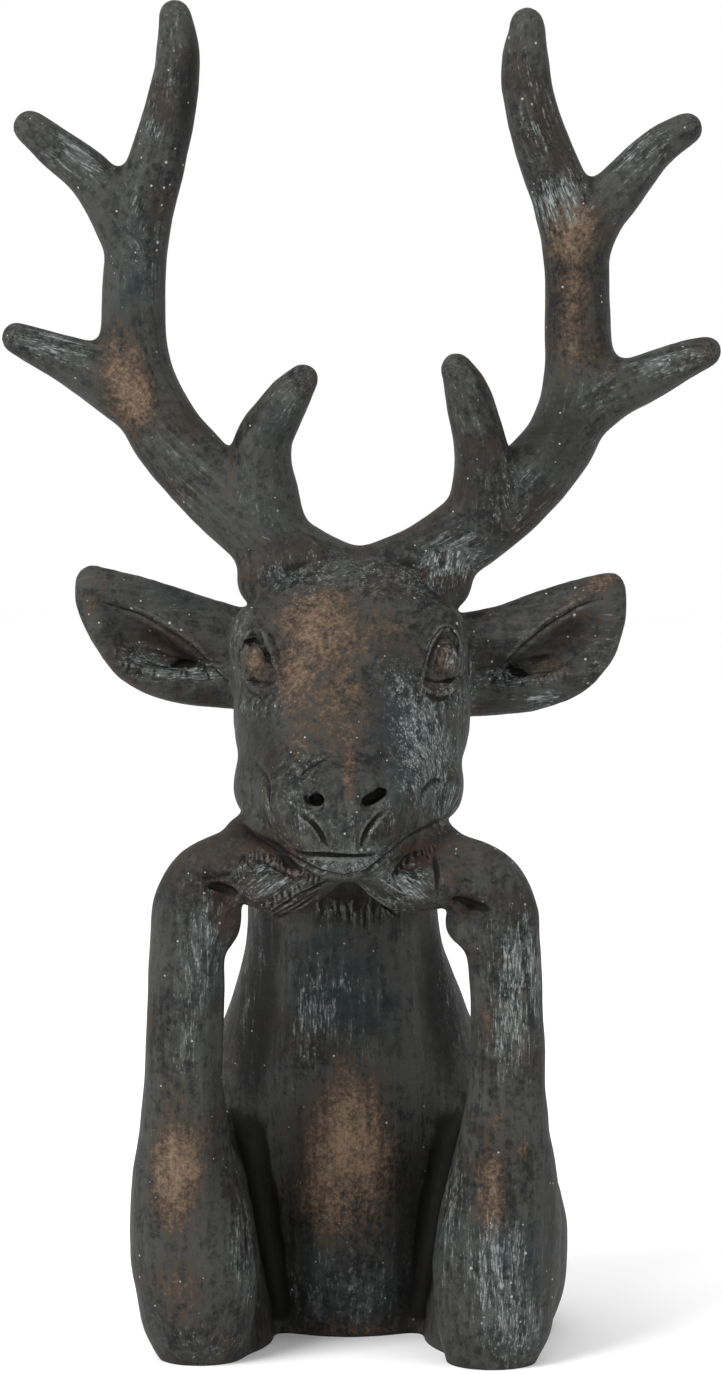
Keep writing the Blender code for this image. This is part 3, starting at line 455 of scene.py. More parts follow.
# Coats over the dark paint: colour, the sums at which it starts and is full, its most, and what is summed
RUB_SUM = {"rub": 1.2, "mottle": 0.6, "sweeps": 0.25, "blotch": 0.25, "grain": 0.3}
COATS = (
    (MID_PAINT, 0.2, 0.95, 1, {"grain": 0.35, "sweeps": 0.3, "mottle": 0.3, "cloud": 0.3}),
    (BROWNISH_PAINT, 0.2, 0.9, 0.7, {"cloud": -0.7, "mottle": 0.4, "blotch": 0.7}),
    (TEAL_PAINT, 0.5, 1.5, 0.7, {"teal": 1, "blotch": 0.6}),
    (RUST_PAINT, 0.5, 1.4, 0.8, {"rust": 1, "grain": 0.5}),
    (DARK_BROWN, 0.9, 1.5, 0.9, RUB_SUM),
    (RUBBED_BROWN, 1.2, 2.5, 0.95, RUB_SUM),
    # Painted shade: darkens the colour where shade falls, from the shade ovals and the grain
    (PAINTED_SHADE_COLOUR, 0.3, 1.2, 0.85, {"painted_shade": 1, "grain": 0.3}),
    (HAZE_PAINT, 0.85, 1.75, 0.85, {"pale": 0.8, "sweeps": 0.5, "grain": 0.35, "mottle": 0.2}),
    (PALE_PAINT, 1.18, 1.88, 0.95, {"pale": 0.6, "strands": 0.75, "sweeps": 0.35, "mottle": 0.3}),
    (RIM_PAINT, 0.6, 1.25, 0.8,
     {"crease": -1, "hollow": 0.55, "strands": 0.3, "pale": 0.25, "mottle": 0.2}),
    (SPECK_PAINT, -0.02, 0.01, 0.8, {"speck_distance": -1, "speck_luck": 0.08, "spots": 0.065}),
    # Painted shade: creases and hollows darkened where shade gathers in them
    (PAINTED_RECESS_SHADE, 0.3, 1, 0.92, {"crease": 1, "hollow": 0.5}),
    (PAINTED_RECESS_SHADE, 0.35, 1, 0.6, {"hollow": 1}),
)
ROUGHNESS = 0.52
ROUGHNESS_SUM = {"pale": 0.12, "grain": 0.14}
SPECULAR = 0.12
BUMP_SUM = {"strands": 0.3, "sweeps": 0.35, "mottle": 0.35}
BUMP_HEIGHT = 0.5
BUMP_STRENGTH = 0.35

# Brush strokes: squeeze along their way, slants, and where the ears, face, hooves and antlers lie in parts,
# with the top and foot of the hooves in rows of the photo
STROKE_SQUEEZE = 0.12
FACE_SLANT = 0.22
HOOF_SLANT = 0.8
EARS_FROM = 55
EARS_ABOVE = 275
FACE_FROM = 4
FACE_ABOVE = 232
HOOF_TOP = 852
HOOF_FOOT = 918
HOOF_REACH = 52
HOOF_BACK = -50
ANTLERS_ABOVE = 356
BRANCH_WAY = (0.3, 0.3, 0.9)

# Studio: the floor's reach in metres and finish; lamps by name, place, size and watts, and where they aim
FLOOR_REACH = 8
FLOOR_COLOUR = (0.985, 0.985, 0.985, 1)
FLOOR_ROUGHNESS = 0.9
LAMPS = (("key", (-1.35, -1.45, 1.7), (1.1, 1.1), 58), ("fill", (1.7, -1.4, 1.2), (1, 1.6), 9))
LIT_PLACE = (0, 0, 0.3)

# Photo area with the smallest carving: left, top, right, bottom; and the step along a sighted path
FINE_AREA = (80, 580, 635, 935)
FINE_FACING = 0.2
SIGHT_STEP = 1.6


def new_object(name, data):
    obj = bpy.data.objects.new(name, data)
    bpy.context.scene.collection.objects.link(obj)
    return obj


def take(obj):
    """The object's mesh with its modifiers applied, and the object itself removed."""
    bpy.context.view_layer.update()
    mesh = bpy.data.meshes.new_from_object(obj.evaluated_get(bpy.context.evaluated_depsgraph_get()))
    bpy.data.objects.remove(obj, do_unlink=True)
    return mesh


def limb(path):
    """A rounded tube through points of x, y, z and radius, with a ball at each end."""
    curve = bpy.data.curves.new("limb", "CURVE")
    curve.dimensions = "3D"
    curve.resolution_u = CURVE_STEPS
    curve.bevel_depth = PART
    curve.bevel_resolution = CURVE_STEPS
    curve.use_fill_caps = True
    spline = curve.splines.new("BEZIER")
    spline.bezier_points.add(len(path) - 1)
    for knot, (x, y, z, radius) in zip(spline.bezier_points, path):
        knot.co = Vector((x, y, z)) * PART
        knot.radius = radius
        knot.handle_left_type = knot.handle_right_type = "AUTO"
    meshes = [take(new_object("limb", curve))]
    for x, y, z, radius in (path[0], path[-1]):
        meshes.append(ball((x, y, z), (radius, radius, radius)))
    return meshes


def mesh_of(form):
    mesh = bpy.data.meshes.new("form")
    form.to_mesh(mesh)
    form.free()
    return mesh


def ball(centre, radii, turn=0):
    """An ellipsoid, in parts, turned by degrees about Z."""
    form = bmesh.new()
    around, rings = BALL_STEPS
    bmesh.ops.create_uvsphere(form, u_segments=around, v_segments=rings, radius=PART)
    mesh = mesh_of(form)
    mesh.transform(Matrix.Diagonal((*radii, 1)))
    mesh.transform(Matrix.Rotation(math.radians(turn), 4, "Z"))
    mesh.transform(Matrix.Translation(Vector(centre) * PART))
    return mesh


def loft(rings):
    """A closed skin over rings of as many points each."""
    form = bmesh.new()
    loops = [[form.verts.new(Vector(point) * PART) for point in ring] for ring in rings]
    for near, far in zip(loops, loops[1:]):
        for index in range(len(near)):
            after = (index + 1) % len(near)
            form.faces.new((near[index], near[after], far[after], far[index]))
    form.faces.new(reversed(loops[0]))
    form.faces.new(loops[-1])
    bmesh.ops.recalc_face_normals(form, faces=form.faces)
    return mesh_of(form)


def power(value, exponent):
    return math.copysign(abs(value) ** exponent, value)


def turn_steps(count):
    return [math.tau * step / count for step in range(count)]


def smooth_rows(rows):
    """The rows of a table with others between them, on a smooth curve through each column."""
    table = np.array([rows[0], *rows, rows[-1]], dtype=float)
    result = []
    for before, start, end, after in zip(table, table[1:], table[2:], table[3:]):
        for step in range(ROW_STEPS):
            t = step / ROW_STEPS
            bend = 2 * before - 5 * start + 4 * end - after
            twist = 3 * (start - end) + after - before
            result.append(start + 0.5 * t * (end - before + t * (bend + t * twist)))
    result.append(table[-1])
    return result


def head():
    rings = []
    for y, middle, top, wide, bottom, half in smooth_rows(HEAD_SECTIONS):
        ring = []
        for angle in turn_steps(HEAD_STEPS):
            above = math.sin(angle) > 0
            shape = 2 / (HEAD_TOP_POWER if above else JAW_POWER)
            reach = top - wide if above else wide - bottom
            ring.append((middle + half * power(math.cos(angle), shape), y,
                         wide + reach * power(math.sin(angle), shape)))
        rings.append(ring)
    return loft(rings)


def column(sections, side=1):
    """An upright mass through level sections, mirrored where side is -1."""
    rings = []
    for z, middle, half, front, back, swell in smooth_rows(sections):
        ring = []
        for angle in turn_steps(COLUMN_STEPS):
            off = half * power(math.cos(angle), 2 / TRUNK_POWER)
            deep = (back - front) / 2 * power(math.sin(angle), 2 / TRUNK_POWER)
            if angle > math.pi:
                deep -= swell * math.exp(-(off / BREAST_WIDTH) ** 2)
            ring.append((side * (middle + off), (front + back) / 2 + deep, z))
        rings.append(ring)
    return loft(rings)


def ear_depth(away):
    """How far back the middle of an ear lies: its tip sweeps forward."""
    return EAR_DEPTH_AT_ROOT - EAR_SWEEP * (away - EAR_ROOT)


def mass(shape, side=1):
    """One named mass, mirrored where side is -1."""
    (x, y, z), radii, turn = shape
    return ball((side * x, y, z), radii, side * turn)


def run(path, side):
    """One named run of bone, mirrored where side is -1."""
    return limb([(side * x, y, z, radius) for x, y, z, radius in path])


def ear(side, sections):
    """A leaf-shaped ear whose hollow faces forward, under an upper edge that rolls over it."""
    leaf = []
    hollow = []
    columns = list(zip(*sections))
    for away, top, bottom, deep in smooth_rows(sections):
        level = (top + bottom) / 2
        tall = (top - bottom) / 2 + SKIN_LOSS
        y = ear_depth(away)
        leaf.append([(side * away, y + deep * math.sin(angle), level + tall * math.cos(angle))
                     for angle in turn_steps(EAR_STEPS)])
    for share in HOLLOW_SHARES:
        away = HOLLOW_START + HOLLOW_LENGTH * share
        top, bottom, deep = (np.interp(away, columns[0], column) for column in columns[1:])
        open_top = top - (top - bottom) * np.interp(share, (0, 1), EAR_ROLL)
        open_low = bottom + (top - bottom) * np.interp(share, (0, 1), EAR_RIM)
        round_end = math.sqrt(max(HOLLOW_END_SIZE, 1 - (2 * share - 1) ** 4))
        level = (open_top + open_low) / 2
        tall = (open_top - open_low) / 2 * round_end
        y = ear_depth(away) - deep
        hollow.append([(side * away, y + deep * HOLLOW_DEPTH * round_end * math.sin(angle),
                        level + tall * math.cos(angle)) for angle in turn_steps(HOLLOW_STEPS)])
    body = new_object("ear", loft(leaf))
    cutter = new_object("ear_hollow", loft(hollow))
    cut = body.modifiers.new("hollow", "BOOLEAN")
    cut.operation = "DIFFERENCE"
    cut.object = cutter
    mesh = take(body)
    bpy.data.objects.remove(cutter, do_unlink=True)
    return mesh


def foreleg(side, path):
    """Elbow and forearm, upper arm back to the trunk, bent wrist, pastern and cloven hoof."""
    meshes = [*limb(path), *run(HOOF_TIP, side), column(ARM_SECTIONS, side)]
    meshes += [mass(shape, side) for shape in (HAUNCH, WRIST, HOOF)]
    away, level, tall = WRIST_KNOBS[side > 0]
    knob = (WRIST_KNOB_WIDTH, WRIST_KNOB_THICKNESS, tall)
    meshes.append(ball((side * away, WRIST_KNOB_DEPTH, level), knob))
    return meshes


def antlers():
    """Both antlers on one crown, with wide fillets where the tines branch off."""
    meshes = [mass(shape) for shape in CROWNS]
    for branch in BRANCHES:
        meshes += limb(branch)
    mesh = fused(meshes, ROUGH_GRAIN)
    fillet(mesh, FORK_FILLET, ROUGH_GRAIN)
    return mesh


def bust():
    """Head, ears, trunk and forelegs, with small fillets between them."""
    meshes = [head(), column(TRUNK_SECTIONS), mass(NOSE_TIP), mass(CHIN)]
    for side in (-1, 1):
        meshes += [mass(CHEEK, side), mass(BROW, side), *run(JAW_EDGE, side)]
        (x, y, z), radii, _ = NOSTRIL_WING
        meshes.append(ball((MUZZLE_MIDDLE + side * x, y, z), radii))
    meshes += [mass(shape) for shape in HAND_RESTS]
    meshes += [ear(-1, LEFT_EAR), ear(1, RIGHT_EAR)]
    meshes += foreleg(-1, LEFT_LEG) + foreleg(1, RIGHT_LEG)
    mesh = fused(meshes, ROUGH_GRAIN)
    fillet(mesh, BUST_FILLET, ROUGH_GRAIN)
    soften(mesh, SKIN_ROUNDS)
    return mesh


def rough_form():
    """The whole figure before its carving."""
    mesh = fused([antlers(), bust()], FINE_GRAIN)
    fillet(mesh, JOIN_FILLET, FINE_GRAIN)
    soften(mesh, SKIN_ROUNDS)
    put(mesh, places(mesh) + outward(mesh) * SKIN_LOSS * PART)
    return mesh


def fused(meshes, grain):
    """One skin around everything that overlaps."""
    form = bmesh.new()
    for mesh in meshes:
        form.from_mesh(mesh)
        bpy.data.meshes.remove(mesh)
    bmesh.ops.remove_doubles(form, verts=form.verts, dist=WELD * PART)
    obj = new_object("clay", mesh_of(form))
    skin = obj.modifiers.new("skin", "REMESH")
    skin.mode = "VOXEL"
    skin.voxel_size = grain * PART
    return take(obj)


def triples(items, name):
    flat = np.empty(len(items) * 3)
    items.foreach_get(name, flat)
    return flat.reshape(-1, 3)


def places(mesh):
    return triples(mesh.vertices, "co")


def outward(mesh):
    return triples(mesh.vertex_normals, "vector")


def put(mesh, points):
    mesh.vertices.foreach_set("co", points.ravel())
    mesh.update()


def soften(mesh, rounds, share=0.5, only_fill=False):
    """Draws each point towards its neighbours; only_fill fills creases and leaves what stands out."""
    flat = np.empty(len(mesh.edges) * 2, dtype=np.int64)
    mesh.edges.foreach_get("vertices", flat)
    first, second = flat.reshape(-1, 2).T
    points = places(mesh)
    count = np.bincount(flat, minlength=len(points))[:, None]
    for _ in range(rounds):
        total = np.stack([np.bincount(first, points[second, axis], len(points))
                          + np.bincount(second, points[first, axis], len(points))
                          for axis in range(3)], axis=1)
        pull = total / count - points
        if only_fill:
            away = outward(mesh)
            pull = away * np.maximum(0, (pull * away).sum(axis=1))[:, None]
        points = points + share * pull
        if only_fill:
            put(mesh, points)
    put(mesh, points)


def fillet(mesh, reach, grain):
    """Fills the creases of a skin; softening reaches as far as its grain times the root of the rounds."""
    soften(mesh, round((reach / grain) ** 2), only_fill=True)


def skin_tree(mesh):
    return BVHTree.FromPolygons([Vector(point) for point in places(mesh)],
                                [tuple(face.vertices) for face in mesh.polygons])


def on_front(tree, x, z, proud=0.0):
    """The point of the skin that shows at x, z from the front, or the nearest one past its edge."""
    start = Vector((x, FAR_IN_FRONT, z)) * PART
    point, away, _, _ = tree.ray_cast(start, Vector((0, 1, 0)))
    if point is None:
        point, away, _, _ = tree.find_nearest(Vector((x, MID_DEPTH, z)) * PART)
    return point + away * proud * PART


def measured(path):
    """The two columns of a path, and how far along it each corner lies."""
    corners = np.array(path, dtype=float)
    gone = np.concatenate(([0], np.cumsum(np.linalg.norm(np.diff(corners, axis=0), axis=1))))
    return corners[:, 0], corners[:, 1], gone


def on_line(tree, line, find, step):
    """Close-set points of the skin along a line, with how near the line's middle each one is."""
    across, up, gone = measured(line)
    steps = np.linspace(0, gone[-1], max(LEAST_MARKS, int(gone[-1] / step)))
    sights = zip(np.interp(steps, gone, across), np.interp(steps, gone, up))
    points = [find(tree, *sight) for sight in sights]
    middle = np.sqrt(np.sin(np.pi * np.clip(steps / gone[-1], *LINE_ENDS)))
    return np.array(points), middle


def press_lines(mesh, tree, lines, find=on_front, step=TRACE_STEP):
    """Presses lines of a width and depth into the skin; those of negative depth stand proud."""
    points = places(mesh)
    away = outward(mesh)
    inward = np.zeros(len(points))
    for line, width, depth in lines:
        marks, middle = on_line(tree, line, find, step)
        reach = LINE_REACH * width * PART
        inside = (points > marks.min(axis=0) - reach) & (points < marks.max(axis=0) + reach)
        near = np.flatnonzero(inside.all(axis=1))
        if len(near):
            apart = np.linalg.norm(points[near, None, :] - marks[None, :, :], axis=2) / (width * PART)
            inward[near] += (np.exp(-apart ** 2) * middle).max(axis=1) * depth * PART
    put(mesh, points - away * inward[:, None])


def press_pit(mesh, centre, radii, depth, way):
    """Presses a pit of three radii into the skin along a direction."""
    points = places(mesh)
    apart = (((points - np.array(centre)) / (np.array(radii) * PART)) ** 2).sum(axis=1)
    points += np.exp(-apart)[:, None] * np.array(way) * depth * PART
    put(mesh, points)


def with_small_forms(mesh):
    """Sockets, eyeballs and lids, then one skin again."""
    tree = skin_tree(mesh)
    way_x, way_y, way_z = SOCKET_WAY
    centres = [on_front(tree, x, z) for x, z in EYES]
    lids = [[(*(on_front(tree, x, z, LID_RISE) / PART), LID_RADIUS) for x, z in line] for line in LIDS]
    meshes = [mesh]
    for centre, side in zip(centres, (-1, 1)):
        press_pit(mesh, centre, SOCKET_RADII, SOCKET_DEPTH, (side * way_x, way_y, way_z))
        x, y, z = centre / PART
        meshes.append(ball((x + side * EYE_SHIFT[0], y + EYE_SHIFT[1], z), EYE_RADII, side * EYE_TURN))
    for path in lids:
        meshes += limb(path)
    mesh = fused(meshes, SKIN_GRAIN)
    soften(mesh, EYE_ROUNDS)
    return mesh


def carve(mesh):
    """Every groove, crease and hollow that shows from a step away."""
    tree = skin_tree(mesh)
    lines = [(line, VALLEY_WIDTH, VALLEY_DEPTH) for line in CHEST_VALLEYS]
    lines += CARVED_LINES
    for x, z in CHEST_TUFTS:
        lines.append((((x, z), (x * TUFT_SPREAD, z - TUFT_DROP)), TUFT_WIDTH, -TUFT_HEIGHT))
    press_lines(mesh, tree, lines)
    for (x, z), wide, tall, depth in NOSTRILS:
        press_pit(mesh, on_front(tree, x, z), (wide, NOSTRIL_THICKNESS, tall), depth, NOSTRIL_WAY)
    (x, z), radii, depth, (way_x, way_y, way_z) = CHEEK_HOLLOW
    for side in (-1, 1):
        press_pit(mesh, on_front(tree, side * x, z), radii, depth, (side * way_x, way_y, way_z))


def cut_flat(mesh):
    """Cuts the underside off level at z = 0 and closes it."""
    form = bmesh.new()
    form.from_mesh(mesh)
    bmesh.ops.bisect_plane(form, geom=form.verts[:] + form.edges[:] + form.faces[:], dist=WELD * PART,
                           plane_co=(0, 0, 0), plane_no=(0, 0, -1), clear_outer=True)
    rim = [edge for edge in form.edges if edge.is_boundary]
    for edge in rim:
        for corner in edge.verts:
            corner.co.z = 0
    bmesh.ops.triangle_fill(form, edges=rim, use_beauty=True)
    bmesh.ops.recalc_face_normals(form, faces=form.faces)
    form.to_mesh(mesh)
    form.free()


def placed(mesh):
    """Moves the form to where the solid stands, and says how far it moved."""
    low, high = (np.array(corner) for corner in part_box("deer_figurine"))
    points = places(mesh)
    shift = (low + high - points.min(axis=0) - points.max(axis=0)) / 2
    shift[2] = low[2] - points[:, 2].min()
    put(mesh, points + shift)
    return shift


def pixels(points):
    """Where the camera sees each point, as u and v in pixels of the photograph."""
    x, y, z = (points - np.array(CAMERA_PLACE)).T
    deep = y * LEVEL - z * DROP
    return (PHOTO_WIDTH / 2 + PIXELS_PER_SLOPE * x / deep,
            PHOTO_HEIGHT / 2 - PIXELS_PER_SLOPE * (y * DROP + z * LEVEL) / deep)


def seen(tree, u, v):
    """The point of the skin that the camera sees at a pixel, or the nearest one past its edge."""
    across = (u - PHOTO_WIDTH / 2) / PIXELS_PER_SLOPE
    high = (PHOTO_HEIGHT / 2 - v) / PIXELS_PER_SLOPE
    start = Vector(CAMERA_PLACE)
    way = Vector((across, LEVEL + high * DROP, high * LEVEL - DROP))
    point = tree.ray_cast(start, way)[0]
    if point is None:
        point = tree.find_nearest(start + way * (CAMERA_DISTANCE + MID_DEPTH * PART))[0]
    return point


def refined(mesh):
    """Splits the skin finer where the face, the ears and the hooves carry their smallest carving."""
    u, v = pixels(places(mesh))
    left, top, right, bottom = FINE_AREA
    inside = (u > left) & (u < right) & (v > top) & (v < bottom) & (outward(mesh)[:, 1] < FINE_FACING)
    form = bmesh.new()
    form.from_mesh(mesh)
    edges = [edge for edge in form.edges if all(inside[corner.index] for corner in edge.verts)]
    bmesh.ops.subdivide_edges(form, edges=edges, cuts=1, use_grid_fill=True)
    form.to_mesh(mesh)
    form.free()


def hair(chance, u, v, leans, lengths, rise, width, depth):
    """A short line down from a pixel, of a chance lean and length."""
    lean, length = chance.uniform(*leans), chance.uniform(*lengths)
    return ((u, v - rise), (u + lean, v - rise + length)), width, depth


def fine_carve(mesh):
    """Lips and fur of the ears, lids, nostrils, hooves, tufts and tendons, laid along the sight lines."""
    lines = list(TRACED_LINES)
    for paths, drop, width, depth in TRACED_ALIKE:
        lines += [([(u, v + drop) for u, v in path], width, depth) for path in paths]
    chance = np.random.default_rng(FUR_SEED)
    for path in EAR_FLOORS:
        for (u, v), (after_u, after_v) in zip(path, path[1:]):
            for share in chance.uniform(0, 1, EAR_HAIR_COUNT):
                lines.append(hair(chance, u + share * (after_u - u), v + share * (after_v - v), *EAR_HAIR))
    for (start_u, start_v), (end_u, end_v), count, (step_u, step_v) in FRINGES:
        for index in range(count):
            across, down = chance.uniform(*FRINGE_SPREAD, 2) * (index * step_u, index * step_v)
            bow = chance.uniform(-FRINGE_BOW, FRINGE_BOW)
            middle = ((start_u + end_u) / 2 + across, (start_v + end_v) / 2 + down + bow)
            lines.append((((start_u + across, start_v + down), middle, (end_u + across, end_v + down)),
                          *FRINGE_SIZE))
    for path in HOOF_FUR:
        across, down, gone = measured(path)
        for place in np.arange(0, gone[-1], HOOF_HAIR_STEP):
            u, v = np.interp(place, gone, across), np.interp(place, gone, down)
            lines.append(hair(chance, u, v, *HOOF_HAIR))
    for u, v in CHIN_TUFTS:
        tuft = hair(chance, u, v, *CHIN_HAIR)
        gap = np.array(tuft[0]) + CHIN_GAP_SHIFTS
        lines += [tuft, (gap, *CHIN_GAP_SIZE)]
    press_lines(mesh, skin_tree(mesh), lines, seen, SIGHT_STEP)


def waves(points, length, seed):
    """A smooth unevenness, mostly between -1 and 1, of a given wavelength in parts."""
    chance = np.random.default_rng(seed)
    total = np.zeros(len(points))
    for _ in range(WAVE_COUNT):
        way = chance.normal(size=3)
        way *= math.tau * chance.uniform(*WAVE_SPREAD) / (length * PART * np.linalg.norm(way))
        total += np.sin(points @ way + chance.uniform(0, math.tau))
    return total / math.sqrt(WAVE_COUNT)


def dent(mesh):
    """The slight unevenness of a form that was modelled by hand; the underside stays level."""
    points = places(mesh)
    height = sum(size * waves(points, length, DENT_SEED + length) for length, size in DENT_WAVES)
    height *= np.clip(points[:, 2] / (DENT_START * PART), 0, 1) * PART
    put(mesh, points + outward(mesh) * height[:, None])


def note(mesh, name, values):
    """Keeps one number, or three, for each point of the mesh."""
    kind, field = ("FLOAT", "value") if values.ndim == 1 else ("FLOAT_VECTOR", "vector")
    mesh.attributes.new(name, kind, "POINT").data.foreach_set(field, values.ravel().astype(np.float32))


def note_relief(mesh):
    """How hollow or how sharp the skin is at each point, near by and farther around."""
    points = places(mesh)
    away = outward(mesh)
    for name, (rounds, scale) in RELIEF_MARKS.items():
        copy = mesh.copy()
        soften(copy, rounds)
        rise = ((places(copy) - points) * away).sum(axis=1)
        bpy.data.meshes.remove(copy)
        note(mesh, name, np.clip(rise / (scale * PART), -1, 1))


def decimated(mesh, triangles):
    """The same form in fewer triangles, which stay close-set where it is carved."""
    obj = new_object("clay", mesh)
    fewer = obj.modifiers.new("fewer", "DECIMATE")
    fewer.ratio = triangles / sum(len(face.vertices) - 2 for face in mesh.polygons)
    fewer.use_collapse_triangulate = True
    return take(obj)


def ovals(u, v, table):
    """How strongly each point lies in a table's ovals."""
    total = np.zeros(len(u))
    for middle_u, middle_v, half_u, half_v, strength, *tilt in table:
        turn = math.radians(tilt[0] if tilt else 0)
        across = (u - middle_u) * math.cos(turn) + (v - middle_v) * math.sin(turn)
        down = (v - middle_v) * math.cos(turn) - (u - middle_u) * math.sin(turn)
        apart = (across / half_u) ** 2 + (down / half_v) ** 2
        total = np.maximum(total, strength * np.exp(-OVAL_FALL * apart ** 1.5))
    return total


def note_paint(mesh):
    """Where the paint is rubbed, brushed, rusty or bluish: as photographed in front, plainer elsewhere."""
    points = places(mesh)
    u, v = pixels(points)
    sideways, ahead = FRONT_FACING
    front = np.clip((-outward(mesh)[:, 1] - sideways) / (ahead - sideways), 0, 1)
    front = front * front * (3 - 2 * front)
    # The mark for painted shade darkens places where shade falls: in front from its ovals, behind from
    # waves
    for name, (table, length, seed, size, lift, most) in PAINT_MARKS.items():
        plainer = np.clip(size * waves(points, length, seed) + lift, 0, most)
        note(mesh, name, front * ovals(u, v, table) + (1 - front) * plainer)


def along(points, path):
    """The nearest place on a branch's middle line, how far along that is, and how far off."""
    corners = np.array(path)[:, :3] * PART
    starts, ways = corners[:-1], np.diff(corners, axis=0)
    lengths = np.linalg.norm(ways, axis=1)
    shares = np.clip(((points[:, None] - starts) * ways).sum(axis=2) / lengths ** 2, 0, 1)
    feet = starts + shares[..., None] * ways
    off = np.linalg.norm(points[:, None] - feet, axis=2)
    gone = np.cumsum(lengths) - lengths + shares * lengths
    nearest = np.arange(len(points)), off.argmin(axis=1)
    return feet[nearest], gone[nearest], off[nearest]


def note_strokes(mesh, shift):
    """Coordinates squeezed along the brush's way: along antlers and ears, down everywhere else."""
    points = places(mesh) - shift
    across, deep, high = (points / PART).T
    row = pixels(places(mesh))[1]
    strokes = points * (1, 1, STROKE_SQUEEZE)
    sideways = (np.abs(across) > EARS_FROM) & (high > EARS_ABOVE)
    strokes[sideways] = points[sideways] * (STROKE_SQUEEZE, 1, 1)
    for side in (-1, 1):
        own = across * side > FACE_FROM
        face = own & (high > FACE_ABOVE) & ~sideways
        strokes[face, 0] -= side * FACE_SLANT * points[face, 2]
        hoof = own & (row > HOOF_TOP) & (row < HOOF_FOOT)
        hoof &= (np.abs(across) < HOOF_REACH) & (deep < HOOF_BACK)
        way = np.array((-side * HOOF_SLANT, 0, math.sqrt(1 - HOOF_SLANT ** 2)))
        strokes[hoof] = points[hoof] - np.outer(points[hoof] @ way, (1 - STROKE_SQUEEZE) * way)
    best = np.full(len(points), np.inf)
    for index, branch in enumerate(BRANCHES):
        foot, gone, off = along(points, branch)
        own = (high > ANTLERS_ABOVE) & (off < best)
        best[own] = off[own]
        down = np.outer(gone[own] * STROKE_SQUEEZE + index, BRANCH_WAY)
        strokes[own] = points[own] - foot[own] + down
    note(mesh, "stroke", strokes)


def figure():
    mesh = with_small_forms(rough_form())
    carve(mesh)
    cut_flat(mesh)
    shift = placed(mesh)
    refined(mesh)
    fine_carve(mesh)
    dent(mesh)
    note_relief(mesh)
    mesh = decimated(mesh, SKIN_TRIANGLES)
    note_paint(mesh)
    note_strokes(mesh, shift)
    mesh.name = "deer_figure"
    mesh.shade_smooth()
    piece = new_object("deer_figure", mesh)
    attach(piece, "root")
    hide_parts("deer_figurine")
    return piece


class Paint:
    """The nodes of one material, made a value at a time."""

    def __init__(self, name):
        self.material = bpy.data.materials.new(name)
        self.material.use_nodes = True
        self.tree = self.material.node_tree
        self.surface = self.tree.nodes["Principled BSDF"]
        self.place = self.tree.nodes.new("ShaderNodeTexCoord").outputs["Object"]

    def feed(self, socket, value):
        if isinstance(value, bpy.types.NodeSocket):
            self.tree.links.new(value, socket)
        else:
            socket.default_value = value

    def node(self, kind, inputs, **settings):
        made = self.tree.nodes.new("ShaderNode" + kind)
        for name, value in settings.items():
            setattr(made, name, value)
        for name, value in inputs.items():
            self.feed(made.inputs[name], value)
        return made

    def mark(self, name, output="Fac"):
        return self.node("Attribute", {}, attribute_name=name).outputs[output]

    def share(self, value, low, high, most=1):
        return self.node("MapRange", {
            "Value": value, "From Min": low, "From Max": high, "To Max": most},
            interpolation_type="SMOOTHSTEP").outputs["Result"]

    def noise(self, where, size, detail, roughness, low, high):
        """Noise whose features are about a size in parts, spread between none and full."""
        return self.share(self.node("TexNoise", {
            "Vector": where, "Scale": 1 / (size * PART), "Detail": detail,
            "Roughness": roughness}).outputs["Fac"], low, high)

    def total(self, values, factors, base=0):
        """A base value, and each named value times its factor."""
        result = base
        for name, factor in factors.items():
            result = self.node("Math", {0: values[name], 1: factor, 2: result},
                               operation="MULTIPLY_ADD").outputs[0]
        return result

    def over(self, under, colour, share):
        return self.node("Mix", {"Factor": share, 6: under, 7: (*colour, 1)},
                         data_type="RGBA").outputs[2]


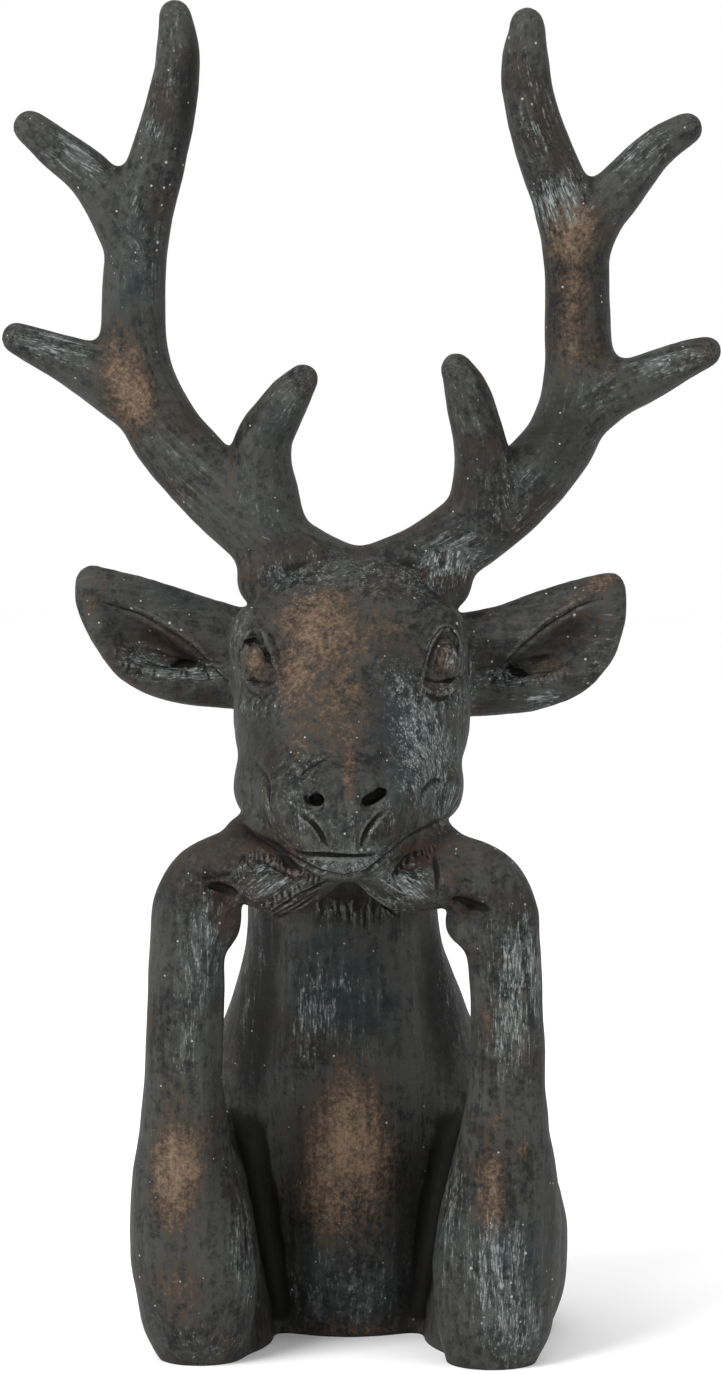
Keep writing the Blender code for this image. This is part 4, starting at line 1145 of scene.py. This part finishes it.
def cast_paint():
    """Blue-black bronze paint, rubbed brown on high places, dry-brushed whitish, with painted shade in its
    creases, hollows and shaded places.
    """
    paint = Paint("painted_cast")
    inputs = paint.surface.inputs
    stroke = paint.mark("stroke", "Vector")
    values = {name: paint.mark(name) for name in (*RELIEF_MARKS, *PAINT_MARKS)}
    for name, measures in NOISES.items():
        values[name] = paint.noise(stroke if name in STROKE_NOISES else paint.place, *measures)
    specks = paint.node("TexVoronoi", {"Vector": paint.place, "Scale": 1 / (SPECK_SPACING * PART)})
    values["speck_distance"] = specks.outputs["Distance"]
    values["speck_luck"] = paint.node("SeparateColor", {0: specks.outputs["Color"]}).outputs[0]
    colour = (*DARK_PAINT, 1)
    for coat, start, full, most, factors in COATS:
        colour = paint.over(colour, coat, paint.share(paint.total(values, factors), start, full, most))
    paint.feed(inputs["Base Color"], colour)
    paint.feed(inputs["Roughness"], paint.total(values, ROUGHNESS_SUM, ROUGHNESS))
    inputs["Specular IOR Level"].default_value = SPECULAR
    bump = paint.node("Bump", {
        "Height": paint.total(values, BUMP_SUM), "Distance": BUMP_HEIGHT * PART, "Strength": BUMP_STRENGTH})
    paint.feed(inputs["Normal"], bump.outputs["Normal"])
    return paint.material


def floor():
    mesh = bpy.data.meshes.new("floor")
    corners = [(FLOOR_REACH * x, FLOOR_REACH * y, 0) for x, y in ((-1, -1), (1, -1), (1, 1), (-1, 1))]
    mesh.from_pydata(corners, [], [range(4)])
    paint = Paint("pale_floor")
    paint.surface.inputs["Base Color"].default_value = FLOOR_COLOUR
    paint.surface.inputs["Roughness"].default_value = FLOOR_ROUGHNESS
    mesh.materials.append(paint.material)
    new_object("floor", mesh)


def studio():
    world = bpy.data.worlds.new("studio")
    world.use_nodes = True
    world.node_tree.nodes["Background"].inputs["Color"].default_value = (1, 1, 1, 1)
    bpy.context.scene.world = world
    for name, place, size, watts in LAMPS:
        lamp = bpy.data.lights.new(name, "AREA")
        lamp.shape = "RECTANGLE"
        lamp.size, lamp.size_y = size
        lamp.energy = watts
        obj = new_object(name, lamp)
        obj.location = place
        obj.rotation_euler = (Vector(LIT_PLACE) - Vector(place)).to_track_quat("-Z", "Y").to_euler()
    bpy.context.scene.view_settings.view_transform = "Standard"


def camera():
    data = bpy.data.cameras.new("camera")
    data.lens = LENS
    data.sensor_fit = "VERTICAL"
    data.sensor_height = FILM_HEIGHT
    obj = new_object("camera", data)
    obj.location = CAMERA_PLACE
    obj.rotation_euler = (math.radians(90) - CAMERA_TILT, 0, 0)
    bpy.context.scene.camera = obj


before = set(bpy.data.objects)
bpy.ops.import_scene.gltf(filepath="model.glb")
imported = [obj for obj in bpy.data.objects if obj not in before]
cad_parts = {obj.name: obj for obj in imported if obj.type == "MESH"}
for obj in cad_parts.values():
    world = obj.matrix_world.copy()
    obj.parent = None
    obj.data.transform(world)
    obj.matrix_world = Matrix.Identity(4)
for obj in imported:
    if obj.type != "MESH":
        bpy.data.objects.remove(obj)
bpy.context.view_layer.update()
piece = figure()
piece.data.materials.append(cast_paint())
floor()
studio()
camera()
